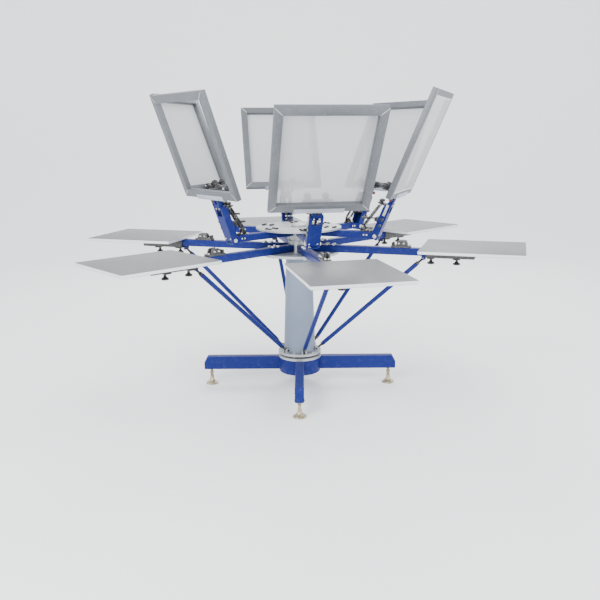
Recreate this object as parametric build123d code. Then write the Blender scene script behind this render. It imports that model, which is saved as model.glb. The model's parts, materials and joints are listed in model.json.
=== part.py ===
from build123d import *
import os
from math import atan2, degrees, hypot

# A manual screen printing carousel: a lower turntable of six platens and an upper turntable of six
# hinged print heads, on one column. Millimetres, +Z up, origin on the floor under the column.

# Driving dimensions
STATIONS = 6
PITCH = 360 / STATIONS
PLATEN_ANGLE = -17.1            # turn of the first platen from +X
HEAD_ANGLE = -20.75             # turn of the first print head from +X
HEAD_TILTS = (67.3, 64.3, 61.8, 69.4, 70.2, 53.8)   # how far each raised head stands above level
BARE_HEADS = (5,)               # heads whose frame carries no mesh
MESH_UP_HEADS = (6,)            # heads whose frame is clamped with its mesh uppermost

# Base
LEG_REACH = 580
LEG_WIDTH = 50
LEG_BOTTOM = 96
LEG_TOP = 176
LEG_WALL = 3
LEG_BEVEL_RUN = 20
LEG_BEVEL_DROP = 36
DRUM_R = 123
DRUM_WALL = 6
DRUM_BOTTOM = 86
FOOT_CIRCLE_R = 539
FOOT_R = 37
FOOT_NECK_R = 11
FOOT_NECK_TOP = 44
ROD_R = 8
ROD_TOP = 120

# Turning stack
FLANGE_R = 128.5
FLANGE_T = 14
THRUST_T = 11.7
RUN_GAP = 0.3                   # between parts that turn on each other
SPINDLE_R = 30
SPINDLE_BORE_R = 22
RUNNING_FIT = 0.05              # radial clearance of a running fit
COLUMN_FOOT_R = 95
COLUMN_TOP_R = 75
COLUMN_WALL = 4
HUB_R = 235
HUB_BOSS_R = 60
ARM_START_R = 62
HUB_TOP = 880
DISC_R = 247.5
DISC_T = 10
HEAD_HUB_BOTTOM = 905

# Platens and their arms
ARM_WIDTH = 50
ARM_WALL = 3
PLATEN_ARM_BOTTOM = 820
PLATEN_ARM_TOP = 860
PLATEN_ARM_END = 1010
PLATEN_INNER = 722
PLATEN_LENGTH = 545
PLATEN_WIDTH = 466
PLATEN_T = 17
PLATEN_TOP = 879
PLATEN_CORNER_R = 8
RAIL_START = 742
RAIL_END = 1005
RAIL_INNER = 26
RAIL_T = 8
RAIL_BOTTOM = 812
STRAP_T = 6
STRAP_WIDTH = 40
KNOB_RADII = (768, 908)
KNOB_R = 21
KNOB_BOTTOM = 773

# Braces
BRACE_FOOT = (110, 231)         # radius and height of the lower pivot
BRACE_HEAD = (728, 806)         # radius and height of the upper pivot
BRACE_R = 12.5
BRACE_BORE_R = 7.2
BRACE_ROD_R = 7
BRACE_ROD_SHOWN = 50
BRACE_ROD_HIDDEN = 30
EYE_R = 10
EYE_HALF = 8
EAR_T = 6
BOLT_R = 4

# Registration gates
GATE_START = 545
GATE_END = 655
GATE_TOP = 901

# Print heads, seen level: a runs out from the hinge, s sideways, n up from the hinge
HINGE_R = 463
HINGE_Z = 925
HEAD_ARM_BOTTOM = 912
HEAD_ARM_TOP = 950
HEAD_ARM_END = 425
CHEEK_T = 6
CHEEK_R = 15.5
PIN_R = 6
CHANNEL_HALF = 35
CHANNEL_T = 3
CHANNEL_BOTTOM = -19
CHANNEL_TOP = 21
CHANNEL_START = -18
CHANNEL_END = 200
FRAME_START = 256.5
FRAME_LENGTHS = (582, 582, 582, 582, 548.5, 582)
FRAME_WIDTH = 500
FRAME_BOTTOM = -40
FRAME_DEPTH = 28
FRAME_BAR = 40
FRAME_WALL = 2
MESH_T = 0.8
MESH_LAP = 10                   # how far the mesh lies over the bars, clear of the clamp pads
CLAMP_HALF = 125
CLAMP_T = 5
JAW_HALF = 75
JAW_BOTTOM = 8
JAW_TOP = 24
CLAMP_KNOB_S = 45.5
CLAMP_KNOB_A = 276


def block(x0, x1, y0, y1, z0, z1):
    """A box between two opposite corners."""
    centre = ((x0 + x1) / 2, (y0 + y1) / 2, (z0 + z1) / 2)
    return Pos(*centre) * Box(x1 - x0, y1 - y0, z1 - z0)


def mirrored(x0, x1, y0, y1, z0, z1):
    """A box and its twin on the other side of the XZ plane."""
    return [block(x0, x1, y0, y1, z0, z1), block(x0, x1, -y1, -y0, z0, z1)]


def rod(radius, z0, z1, x=0, y=0):
    """A round bar along Z."""
    return Pos(x, y, (z0 + z1) / 2) * Cylinder(radius, z1 - z0)


def cross_rod(radius, y0, y1, x=0, z=0):
    """A round bar along Y."""
    return Pos(x, (y0 + y1) / 2, z) * Rot(90, 0, 0) * Cylinder(radius, y1 - y0)


def ring(outer, inner, z0, z1):
    """A round washer or sleeve about Z."""
    return rod(outer, z0, z1) - rod(inner, z0 - 1, z1 + 1)


def turned(points):
    """A solid of revolution about Z from (radius, height) points that start and end on the axis."""
    outline = Polyline(*[(r, 0, z) for r, z in points], close=True)
    return revolve(make_face(outline), Axis.Z)


def hexagon(across, z0, z1, x=0, y=0):
    """A hexagonal nut or bolt head, without its bore."""
    face = Plane.XY.offset(z0) * Pos(x, y) * RegularPolygon(across / 2, 6, major_radius=False)
    return extrude(face, z1 - z0)


def every_station(pieces, start):
    """The same pieces at each station of a turntable."""
    turned_pieces = []
    for station in range(STATIONS):
        turn = Rot(0, 0, start + station * PITCH)
        turned_pieces += [turn * piece for piece in pieces]
    return turned_pieces


def save(name, pieces):
    """Write one node: one or more separate solids."""
    solids = []
    for piece in pieces:
        solids += piece.solids()
    export_step(Compound(children=solids, label=name), f"parts/{name}.step")


# ---------------------------------------------------------------- base

def leg():
    """A box-section leg along +X, bevelled at its tip and open towards the drum."""
    height = LEG_TOP - LEG_BOTTOM
    outline = Plane.YZ * RectangleRounded(LEG_WIDTH, height, 6)
    bar = Pos(0, 0, LEG_BOTTOM + height / 2) * extrude(outline, LEG_REACH)
    half = LEG_WIDTH / 2
    bevel = make_face(Polyline(
        (LEG_REACH - LEG_BEVEL_RUN, 0, LEG_TOP + 1), (LEG_REACH + 1, 0, LEG_TOP + 1),
        (LEG_REACH + 1, 0, LEG_TOP - LEG_BEVEL_DROP), (LEG_REACH, 0, LEG_TOP - LEG_BEVEL_DROP),
        close=True))
    hollow = block(0, LEG_REACH - LEG_BEVEL_RUN - 2, LEG_WALL - half, half - LEG_WALL,
                   LEG_BOTTOM + LEG_WALL, LEG_TOP - LEG_WALL)
    rod_hole = rod(ROD_R + 1, LEG_BOTTOM - 1, LEG_BOTTOM + LEG_WALL + 1, FOOT_CIRCLE_R)
    return bar - extrude(bevel, half + 1, both=True) - hollow - rod(DRUM_R, 0, 200) - rod_hole


def base_frame():
    drum = ring(DRUM_R, DRUM_R - DRUM_WALL, DRUM_BOTTOM, LEG_TOP)
    floor_plate = rod(DRUM_R - DRUM_WALL, DRUM_BOTTOM, DRUM_BOTTOM + DRUM_WALL)
    return [drum, floor_plate] + [Rot(0, 0, 90 * i) * leg() for i in range(4)]


def levelling_foot():
    """A bell-shaped foot with its threaded rod."""
    return turned([(0, 0), (FOOT_R - 2, 0), (FOOT_R, 4), (FOOT_R - 9, 12), (FOOT_R - 19, 20),
                   (FOOT_NECK_R + 2, 30), (FOOT_NECK_R, FOOT_NECK_TOP), (ROD_R, FOOT_NECK_TOP + 4),
                   (ROD_R, ROD_TOP), (0, ROD_TOP)])


def lock_nuts():
    """Hexagon nuts on the side feet, flared cone nuts on the front and back ones."""
    bore = rod(ROD_R + 0.1, 0, ROD_TOP + 1)
    cone = turned([(0, 76), (13, 76), (29, LEG_BOTTOM - 6), (29.5, LEG_BOTTOM), (0, LEG_BOTTOM)]) - bore
    plain = hexagon(24, 66, 78) - bore
    nuts = []
    for i in range(4):
        nut = plain if i % 2 == 0 else cone
        nuts.append(Rot(0, 0, 90 * i) * Pos(FOOT_CIRCLE_R, 0, 0) * nut)
    return nuts


# ---------------------------------------------------------------- turning stack

THRUST_BOTTOM = LEG_TOP + FLANGE_T
COLUMN_FLANGE_BOTTOM = THRUST_BOTTOM + THRUST_T + RUN_GAP
COLUMN_BOTTOM = COLUMN_FLANGE_BOTTOM + FLANGE_T
HUB_BOTTOM = PLATEN_ARM_BOTTOM - FLANGE_T
TURNING_BORE = SPINDLE_R + RUNNING_FIT


def column_tube():
    """A tube that narrows a little towards the top."""
    inner_foot = COLUMN_FOOT_R - COLUMN_WALL
    inner_top = COLUMN_TOP_R - COLUMN_WALL
    outline = Polyline((inner_foot, 0, COLUMN_BOTTOM), (COLUMN_FOOT_R, 0, COLUMN_BOTTOM),
                       (COLUMN_TOP_R, 0, HUB_BOTTOM), (inner_top, 0, HUB_BOTTOM), close=True)
    return revolve(make_face(outline), Axis.Z)


def column_flange():
    """The turning flange, with a pair of ears for each brace."""
    radius, height = BRACE_FOOT
    disc = ring(FLANGE_R, TURNING_BORE, COLUMN_FLANGE_BOTTOM, COLUMN_BOTTOM)
    gap = EYE_HALF + 0.5
    hole = cross_rod(BOLT_R + 0.1, -30, 30, radius, height)
    ears = [ear - hole for ear in mirrored(radius - 12, radius + 12, gap, gap + EAR_T,
                                           COLUMN_BOTTOM, height + 11)]
    return [disc] + every_station(ears, PLATEN_ANGLE)


def platen_hub():
    plate = ring(HUB_R, TURNING_BORE, HUB_BOTTOM, PLATEN_ARM_BOTTOM)
    boss = ring(HUB_BOSS_R, TURNING_BORE, PLATEN_ARM_BOTTOM, HUB_TOP)
    return plate + boss


def head_hub():
    disc = ring(DISC_R, TURNING_BORE, HEAD_ARM_TOP, HEAD_ARM_TOP + DISC_T)
    boss = ring(HUB_BOSS_R, TURNING_BORE, HEAD_HUB_BOTTOM, HEAD_ARM_TOP)
    return disc + boss


def hub_cap():
    """The nut and dome that hold the upper disc on the spindle."""
    seat = HEAD_ARM_TOP + DISC_T + RUN_GAP
    return turned([(0, seat), (46, seat), (46, seat + 8), (38, seat + 15), (20, seat + 20),
                   (0, seat + 22)])


def bolt_heads(radii, half_spread, z0, z1, across, start):
    heads = []
    for radius in radii:
        for side in (-half_spread, half_spread):
            heads.append(hexagon(across, z0, z1, radius, side))
    return every_station(heads, start)


# ---------------------------------------------------------------- arms and braces

def box_arm(end, bottom, top):
    """A rectangular tube along +X, closed by a plug at its outer end."""
    half = ARM_WIDTH / 2
    tube = block(ARM_START_R, end, -half, half, bottom, top)
    hollow = block(ARM_START_R - 1, end - 4, ARM_WALL - half, half - ARM_WALL,
                   bottom + ARM_WALL, top - ARM_WALL)
    return tube - hollow


def brace_frame():
    """A plane whose Z runs up along a brace, from its lower pivot."""
    run = BRACE_HEAD[0] - BRACE_FOOT[0]
    rise = BRACE_HEAD[1] - BRACE_FOOT[1]
    tilt = degrees(atan2(run, rise))
    return Pos(BRACE_FOOT[0], 0, BRACE_FOOT[1]) * Rot(0, tilt, 0), hypot(run, rise)


def brace_tube():
    place, length = brace_frame()
    return place * ring(BRACE_R, BRACE_BORE_R, BRACE_ROD_SHOWN, length - BRACE_ROD_SHOWN)


def rod_end(flip):
    """An eye on a threaded rod with its lock nut, at either end of a brace."""
    place, length = brace_frame()
    eye = cross_rod(EYE_R, -EYE_HALF, EYE_HALF)
    screw = rod(BRACE_ROD_R, 0, BRACE_ROD_SHOWN + BRACE_ROD_HIDDEN)
    shape = eye + screw - cross_rod(BOLT_R + 0.1, -30, 30)
    nut = hexagon(22, BRACE_ROD_SHOWN - 12, BRACE_ROD_SHOWN) - rod(BRACE_ROD_R, 0, 100)
    if flip:
        place = place * Pos(0, 0, length) * Rot(0, 180, 0)
    return [place * shape, place * nut]


def brace_bolt(radius, height):
    """A bolt through an eye and its ears, with a head and a nut."""
    end = EYE_HALF + 0.5 + EAR_T
    shank = cross_rod(BOLT_R, -end, end, radius, height)
    caps = cross_rod(7, end, end + 5, radius, height) + cross_rod(7, -end - 5, -end, radius, height)
    return shank + caps


def brace_ears():
    """The pair of ears under each platen arm that holds a brace's upper end."""
    radius, height = BRACE_HEAD
    gap = EYE_HALF + 0.5
    hole = cross_rod(BOLT_R + 0.1, -30, 30, radius, height)
    ears = mirrored(radius - 12, radius + 12, gap, gap + EAR_T, height - 10, PLATEN_ARM_BOTTOM)
    return [ear - hole for ear in ears]


def registration_gate():
    """A guide on each platen arm: a base and two cheeks with a lead-in between them."""
    base = block(GATE_START, GATE_END, -22, 22, PLATEN_ARM_TOP, PLATEN_ARM_TOP + 12)
    cheeks = mirrored(GATE_START + 30, GATE_END - 20, 11.5, 20, PLATEN_ARM_TOP + 12, GATE_TOP)
    stop = block(GATE_START + 4, GATE_START + 20, -16, 16, PLATEN_ARM_TOP + 12, PLATEN_ARM_TOP + 30)
    screw = rod(5, PLATEN_ARM_TOP + 12, PLATEN_ARM_TOP + 26, GATE_END - 10)
    return [base, stop, screw] + cheeks


# ---------------------------------------------------------------- platens

def platen():
    board = Pos(PLATEN_INNER + PLATEN_LENGTH / 2, 0, PLATEN_TOP - PLATEN_T) * extrude(
        RectangleRounded(PLATEN_LENGTH, PLATEN_WIDTH, PLATEN_CORNER_R), PLATEN_T)
    return board


def platen_knob(radius):
    """A flared clamping knob under the strap."""
    stem = RAIL_BOTTOM - STRAP_T
    shape = turned([(0, KNOB_BOTTOM), (KNOB_R - 2, KNOB_BOTTOM), (KNOB_R, KNOB_BOTTOM + 3),
                    (KNOB_R - 1, KNOB_BOTTOM + 8), (11, KNOB_BOTTOM + 16), (7, KNOB_BOTTOM + 24),
                    (5, KNOB_BOTTOM + 26), (5, stem), (0, stem)])
    return Pos(radius, 0, 0) * shape


def platen_bracket():
    """Two rails beside the arm, joined under it by two straps with clamping knobs."""
    board_bottom = PLATEN_TOP - PLATEN_T
    outer = RAIL_INNER + RAIL_T
    pieces = mirrored(RAIL_START, RAIL_END, RAIL_INNER, outer, RAIL_BOTTOM, board_bottom)
    for radius in KNOB_RADII:
        half = STRAP_WIDTH / 2
        pieces.append(block(radius - half, radius + half, -outer, outer,
                            RAIL_BOTTOM - STRAP_T, RAIL_BOTTOM))
        pieces.append(platen_knob(radius))
    return pieces


# ---------------------------------------------------------------- print heads

def hinge_cheeks():
    """Two plates beside the arm's end that carry the hinge pin."""
    half = ARM_WIDTH / 2
    foot = Pos(HEAD_ARM_END - 15, (HEAD_ARM_TOP + HEAD_ARM_BOTTOM) / 2) * Rectangle(34, 34)
    nose = Pos(HINGE_R, HINGE_Z) * Circle(CHEEK_R)
    outline = make_face(make_hull(foot.edges() + nose.edges()))
    plate = Pos(0, half + CHEEK_T, 0) * extrude(Plane.XZ * outline, CHEEK_T)
    hole = cross_rod(PIN_R, 0, 60, HINGE_R, HINGE_Z)
    cheek = plate - hole
    return [cheek, mirror(cheek, Plane.XZ)]


def hinge_pin():
    grip = CHANNEL_HALF + 0.5
    shank = cross_rod(PIN_R, -grip, grip, HINGE_R, HINGE_Z)
    collars = cross_rod(10, grip, grip + 6, HINGE_R, HINGE_Z)
    collars += cross_rod(10, -grip - 6, -grip, HINGE_R, HINGE_Z)
    return shank + collars


def spring_post():
    """The post on the arm that the lift springs hook to."""
    post = block(386, 396, -14, 14, HEAD_ARM_TOP, HEAD_ARM_TOP + 30)
    bar = cross_rod(4, -24, 24, 391, HEAD_ARM_TOP + 34)
    return [post, bar]


def head_channel():
    """A base plate and two side plates that swing on the hinge pin, and the neck beyond them."""
    half = CHANNEL_HALF
    floor = block(CHANNEL_START, CHANNEL_END, -half, half, CHANNEL_BOTTOM, CHANNEL_BOTTOM + CHANNEL_T)
    floor -= block(-7, 3, -22, 22, CHANNEL_BOTTOM - 1, CHANNEL_BOTTOM + CHANNEL_T + 1)
    floor -= block(148, 178, -20, 20, CHANNEL_BOTTOM - 1, CHANNEL_BOTTOM + CHANNEL_T + 1)
    pin_hole = cross_rod(PIN_R + RUNNING_FIT, -60, 60)
    sides = [side - pin_hole for side in mirrored(CHANNEL_START, CHANNEL_END, half - CHANNEL_T, half,
                                                  CHANNEL_BOTTOM + CHANNEL_T, CHANNEL_TOP)]
    neck = block(CHANNEL_END, FRAME_START - CLAMP_T, -24, 24, CHANNEL_BOTTOM + CHANNEL_T, 6)
    return [floor, neck] + sides


def clamp_screw(side):
    """A clamping screw with a pad on the frame and a flared knob on top."""
    pad = FRAME_BOTTOM + FRAME_DEPTH
    shape = turned([(0, pad), (9, pad), (9, pad + 4), (4, pad + 6), (4, JAW_TOP + 8),
                    (8, JAW_TOP + 10), (17, JAW_TOP + 18), (17, JAW_TOP + 28), (13, JAW_TOP + 40),
                    (6, JAW_TOP + 46), (0, JAW_TOP + 46)])
    return Pos(CLAMP_KNOB_A, side * CLAMP_KNOB_S, 0) * shape


def clamp_and_controls():
    """The frame clamp and the head's adjusters."""
    back_end = FRAME_START
    back = block(back_end - CLAMP_T, back_end, -CLAMP_HALF, CLAMP_HALF, FRAME_BOTTOM - 3, 2)
    riser = block(back_end - CLAMP_T, back_end, -JAW_HALF, JAW_HALF, 2, JAW_TOP)
    lip = block(back_end, back_end + 20, -CLAMP_HALF, CLAMP_HALF, FRAME_BOTTOM - 3, FRAME_BOTTOM)
    jaw = block(back_end, back_end + 34, -JAW_HALF, JAW_HALF, JAW_BOTTOM, JAW_TOP)
    screws = [clamp_screw(side) for side in (-1, 1)]
    for side in (-1, 1):
        jaw -= rod(4.1, 0, 40, CLAMP_KNOB_A, side * CLAMP_KNOB_S)
    inner = CHANNEL_HALF - CHANNEL_T
    floor = CHANNEL_BOTTOM + CHANNEL_T
    lock_block = block(78, 100, -inner, inner, floor, 38)
    lever = Pos(90, 0, 38) * Rot(0, -22, 0) * rod(5, 4, 86)
    lever -= block(60, 120, -20, 20, 0, 38)
    hook_plate = block(176, 182, -inner, inner, floor, 60)
    knobs = [Rot(0, 90, 0) * Pos(-48, side * 17, 0) * rod(12, 182, 202) for side in (-1, 1)]
    side_knobs = []
    for a, reach in ((68, 24), (105, 24), (222, 30)):
        start = CHANNEL_HALF if a < CHANNEL_END else 24
        side_knobs.append(cross_rod(9, -start - reach, -start, a, -4))
    slide = block(125, 190, -CHANNEL_HALF - 6, -CHANNEL_HALF, -8, 6)
    return ([back, riser, lip, jaw, lock_block, lever, hook_plate, slide] + screws + knobs
            + side_knobs)


def bar_tube(x0, x1, y0, y1, along_x):
    """A frame bar with a hollow core that is open at both ends."""
    z0 = FRAME_BOTTOM
    z1 = FRAME_BOTTOM + FRAME_DEPTH
    wall = FRAME_WALL
    if along_x:
        core = block(x0 - 1, x1 + 1, y0 + wall, y1 - wall, z0 + wall, z1 - wall)
    else:
        core = block(x0 + wall, x1 - wall, y0 - 1, y1 + 1, z0 + wall, z1 - wall)
    return block(x0, x1, y0, y1, z0, z1) - core


def screen_frame(length):
    """Two long bars and two cross bars between them."""
    end = FRAME_START + length
    half = FRAME_WIDTH / 2
    inside = half - FRAME_BAR
    return [bar_tube(FRAME_START, end, inside, half, True),
            bar_tube(FRAME_START, end, -half, -inside, True),
            bar_tube(FRAME_START, FRAME_START + FRAME_BAR, -inside, inside, False),
            bar_tube(end - FRAME_BAR, end, -inside, inside, False)]


def screen_mesh(length, uppermost):
    """A taut sheet glued under the bars, or over them where the frame is clamped mesh uppermost."""
    lap = FRAME_BAR - MESH_LAP
    half = FRAME_WIDTH / 2 - lap
    start = FRAME_BOTTOM + FRAME_DEPTH if uppermost else FRAME_BOTTOM - MESH_T
    return block(FRAME_START + lap, FRAME_START + length - lap, -half, half, start, start + MESH_T)


def head_place(index):
    """Where a raised print head stands: turned to its station, at its hinge, tilted up."""
    turn = Rot(0, 0, HEAD_ANGLE + index * PITCH)
    return turn * Pos(HINGE_R, 0, HINGE_Z) * Rot(0, -HEAD_TILTS[index], 0)


# ---------------------------------------------------------------- write the nodes

def write_base():
    save("base_frame", base_frame())
    save("base_flange", [ring(FLANGE_R, SPINDLE_R, LEG_TOP, THRUST_BOTTOM)])
    spindle = ring(SPINDLE_R, SPINDLE_BORE_R, DRUM_BOTTOM + DRUM_WALL,
                   HEAD_ARM_TOP + DISC_T + RUN_GAP)
    save("centre_spindle", [spindle])
    save("thrust_bearing", [ring(110, SPINDLE_R, THRUST_BOTTOM, THRUST_BOTTOM + THRUST_T)])
    save("upper_bearing", [ring(48, SPINDLE_R, HUB_TOP + RUN_GAP, HEAD_HUB_BOTTOM - RUN_GAP)])
    save("hub_cap", [hub_cap()])
    save("foot_lock_nuts", lock_nuts())
    for i in range(4):
        place = Rot(0, 0, 90 * i) * Pos(FOOT_CIRCLE_R, 0, 0)
        save(f"levelling_foot_{i + 1}", [place * levelling_foot()])


def write_platen_carousel():
    save("column_tube", [column_tube()])
    save("column_flange", column_flange())
    save("platen_hub", [platen_hub()])
    arm = box_arm(PLATEN_ARM_END, PLATEN_ARM_BOTTOM, PLATEN_ARM_TOP)
    save("platen_arms", every_station([arm] + brace_ears(), PLATEN_ANGLE))
    top = bolt_heads((172, 212), 14, PLATEN_ARM_TOP, PLATEN_ARM_TOP + 9, 17, PLATEN_ANGLE)
    under = bolt_heads((172, 212), 14, HUB_BOTTOM - 8, HUB_BOTTOM, 17, PLATEN_ANGLE)
    save("hub_bolts", top + under)
    save("platen_braces", every_station([brace_tube()], PLATEN_ANGLE))
    ends = rod_end(False) + rod_end(True) + [brace_bolt(*BRACE_FOOT), brace_bolt(*BRACE_HEAD)]
    save("brace_rod_ends", every_station(ends, PLATEN_ANGLE))
    save("registration_gates", every_station(registration_gate(), PLATEN_ANGLE))
    for i in range(STATIONS):
        turn = Rot(0, 0, PLATEN_ANGLE + i * PITCH)
        save(f"platen_{i + 1}", [turn * platen()])
        save(f"platen_bracket_{i + 1}", [turn * piece for piece in platen_bracket()])


def write_head_carousel():
    disc_top = HEAD_ARM_TOP + DISC_T
    save("upper_disc", [head_hub()])
    save("disc_bolts", bolt_heads((170, 218), 15, disc_top, disc_top + 8, 17, HEAD_ANGLE))
    arm = box_arm(HEAD_ARM_END, HEAD_ARM_BOTTOM, HEAD_ARM_TOP)
    save("head_arms", every_station([arm] + spring_post(), HEAD_ANGLE))
    save("hinge_cheeks", every_station(hinge_cheeks(), HEAD_ANGLE))
    save("hinge_pins", every_station([hinge_pin()], HEAD_ANGLE))
    for i in range(STATIONS):
        place = head_place(i)
        save(f"head_channel_{i + 1}", [place * piece for piece in head_channel()])
        save(f"head_clamp_{i + 1}", [place * piece for piece in clamp_and_controls()])
        length = FRAME_LENGTHS[i]
        save(f"screen_frame_{i + 1}", [place * piece for piece in screen_frame(length)])
        if i + 1 not in BARE_HEADS:
            mesh = screen_mesh(length, i + 1 in MESH_UP_HEADS)
            save(f"screen_mesh_{i + 1}", [place * mesh])


os.makedirs("parts", exist_ok=True)
write_base()
write_platen_carousel()
write_head_carousel()
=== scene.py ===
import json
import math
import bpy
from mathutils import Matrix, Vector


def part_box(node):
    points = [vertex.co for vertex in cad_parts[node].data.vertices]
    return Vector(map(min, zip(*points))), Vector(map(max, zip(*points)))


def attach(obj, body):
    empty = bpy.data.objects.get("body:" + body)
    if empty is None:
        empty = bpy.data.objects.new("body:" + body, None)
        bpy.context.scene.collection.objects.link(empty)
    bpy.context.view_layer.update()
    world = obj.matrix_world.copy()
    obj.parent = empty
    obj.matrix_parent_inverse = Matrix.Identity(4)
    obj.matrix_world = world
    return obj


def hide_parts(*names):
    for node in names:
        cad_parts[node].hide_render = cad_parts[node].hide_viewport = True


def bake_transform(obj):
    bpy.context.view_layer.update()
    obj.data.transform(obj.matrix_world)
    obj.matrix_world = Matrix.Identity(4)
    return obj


bl_info = {
    "name": "Screen Printing Carousel",
    "version": (1, 0, 0),
    "blender": (4, 5, 0),
    "location": "3D View > Sidebar > Carousel",
    "description": "Builds the visible pieces and finishes of a six-station screen printing carousel",
    "category": "Object",
}

import bmesh
import bpy
import numpy as np
from mathutils import Matrix, Vector

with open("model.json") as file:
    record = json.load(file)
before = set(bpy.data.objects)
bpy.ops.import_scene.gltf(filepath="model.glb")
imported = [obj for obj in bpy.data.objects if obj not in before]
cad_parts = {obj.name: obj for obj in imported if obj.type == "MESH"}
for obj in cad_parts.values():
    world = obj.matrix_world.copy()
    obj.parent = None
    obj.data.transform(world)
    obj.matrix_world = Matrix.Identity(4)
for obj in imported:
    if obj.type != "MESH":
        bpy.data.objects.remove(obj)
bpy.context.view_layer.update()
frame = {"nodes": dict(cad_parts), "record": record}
JOINTS = {joint["name"]: joint for joint in frame["record"]["behaviour"]["joints"]}
STATIONS = range(1, 7)
UPRIGHT = np.array([0.0, 0.0, 1.0])
MM = 0.001


# ---------------------------------------------------------------- where things are

def corner(node, end):
    """The lowest (0) or highest (1) corner of a node, as an array."""
    return np.array(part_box(node)[end])


def top(node):
    return float(corner(node, 1)[2])


def bottom(node):
    return float(corner(node, 0)[2])


class Place:
    """A local frame: columns are its three directions, and origin is where it stands."""

    def __init__(self, columns, origin):
        self.turn = np.array(columns, dtype=float).T
        self.origin = np.array(origin, dtype=float)

    def __call__(self, points):
        return np.asarray(points, dtype=float) @ self.turn.T + self.origin

    def shifted(self, a, s, n):
        """The same directions from another local point."""
        return Place(self.turn.T, self([a, s, n]))

    def pointing(self, direction, side=(0.0, 1.0, 0.0)):
        """A frame at the same origin whose third direction is a local one."""
        third = np.array(direction, dtype=float)
        third /= np.linalg.norm(third)
        second = np.array(side, dtype=float)
        second = second - third * (second @ third)
        second /= np.linalg.norm(second)
        first = np.cross(second, third)
        return Place([self.turn @ first, self.turn @ second, self.turn @ third], self.origin)


FLOOR = Place(np.eye(3), (0, 0, 0))


def spoke(angle, height=0.0):
    """A frame on the axis whose first direction points out at an angle, in radians."""
    out = (math.cos(angle), math.sin(angle), 0)
    side = (-math.sin(angle), math.cos(angle), 0)
    return Place([out, side, UPRIGHT], (0, 0, height))


def platen_spoke(k, past=0.0):
    """The spoke of platen k, whose arm lies along its slide's axis, or one some degrees past it."""
    x, y, _ = JOINTS[f"platen_slide_{k}"]["axis"]
    return spoke(math.atan2(y, x) + math.radians(past))


def head_angle(k):
    x, y, _ = JOINTS[f"head_tilt_{k}"]["pos_m"]
    return math.atan2(y, x)


def head_spoke(k):
    return spoke(head_angle(k))


def head_place(k):
    """The frame of print head k: a out along the screen, s sideways, n towards the squeegee side."""
    joint = JOINTS[f"head_tilt_{k}"]
    tilt = math.radians(-joint["range_deg"][0])
    level = head_spoke(k).turn.T
    out = level[0] * math.cos(tilt) + UPRIGHT * math.sin(tilt)
    rise = UPRIGHT * math.cos(tilt) - level[0] * math.sin(tilt)
    return Place([out, level[1], rise], joint["pos_m"])


HINGE_R = math.hypot(*JOINTS["head_tilt_1"]["pos_m"][:2])
HINGE_Z = JOINTS["head_tilt_1"]["pos_m"][2]
BARE = [k for k in STATIONS if f"screen_mesh_{k}" not in frame["nodes"]]


# ---------------------------------------------------------------- surfaces

class Skin:
    """Surfaces gathered into one mesh. Each corner has a place on its surface, in metres, for grain."""

    def __init__(self):
        self.points = []
        self.corners = []
        self.sizes = []
        self.places = []
        self.finishes = []
        self.count = 0
        self.finish = 0

    def add(self, rings, place=FLOOR, loop=False, capped=True):
        """Covers rings[i, j]: i runs along the piece and j round it. The last ring joins the first where
        loop is set, and flat caps close the two ends otherwise."""
        n, m = rings.shape[:2]
        along = np.append(0, np.cumsum(np.linalg.norm(np.roll(rings, -1, 0) - rings, axis=2).mean(1)))
        around = np.append(0, np.cumsum(np.linalg.norm(np.roll(rings, -1, 1) - rings, axis=2).max(0)))
        i, j = np.meshgrid(np.arange(n if loop else n - 1), np.arange(m), indexing="ij")
        i, j = i.ravel(), j.ravel()
        steps = ((0, 0), (0, 1), (1, 1), (1, 0))
        quads = np.stack([(i + a) % n * m + (j + b) % m for a, b in steps], 1)
        spots = np.stack([np.stack([along[i + a], around[j + b]], 1) for a, b in steps], 1)
        self.corners.append(quads.ravel() + self.count)
        self.places.append(spots.reshape(-1, 2))
        self.sizes.append(np.full(len(quads), 4))
        self.finishes.append(np.full(len(quads), self.finish))
        if capped and not loop:
            for start, order in ((0, slice(None, None, -1)), ((n - 1) * m, slice(None))):
                ring = np.arange(m)[order] + start
                flat = rings.reshape(-1, 3)[ring]
                spread = np.ptp(flat, axis=0)
                kept = np.sort(np.argsort(spread)[1:])
                self.corners.append(ring + self.count)
                self.places.append(flat[:, kept])
                self.sizes.append(np.array([m]))
                self.finishes.append(np.array([self.finish]))
        self.points.append(place(rings.reshape(-1, 3)))
        self.count += n * m
        return self

    def mesh(self, name, sharp=35):
        """The mesh, with faces outwards and edges sharper than an angle kept crisp."""
        points = np.concatenate(self.points)
        corners = np.concatenate(self.corners)
        sizes = np.concatenate(self.sizes)
        made = bpy.data.meshes.new(name)
        made.vertices.add(len(points))
        made.vertices.foreach_set("co", points.ravel())
        made.loops.add(len(corners))
        made.loops.foreach_set("vertex_index", corners)
        made.polygons.add(len(sizes))
        made.polygons.foreach_set("loop_start", np.append(0, np.cumsum(sizes)[:-1]))
        made.polygons.foreach_set("material_index", np.concatenate(self.finishes))
        made.update(calc_edges=True)
        layer = made.uv_layers.new(name="UVMap")
        layer.data.foreach_set("uv", np.concatenate(self.places).ravel())
        shape = bmesh.new()
        shape.from_mesh(made)
        bmesh.ops.recalc_face_normals(shape, faces=shape.faces)
        shape.to_mesh(made)
        shape.free()
        made.shade_smooth()
        made.set_sharp_from_angle(angle=math.radians(sharp))
        return made


def ring_points(outline, z):
    """A flat outline at a height."""
    return np.column_stack([outline, np.full(len(outline), z)])


def circle(radius, facets=40):
    turn = np.arange(facets) * 2 * math.pi / facets
    return radius * np.column_stack([np.cos(turn), np.sin(turn)])


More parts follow.
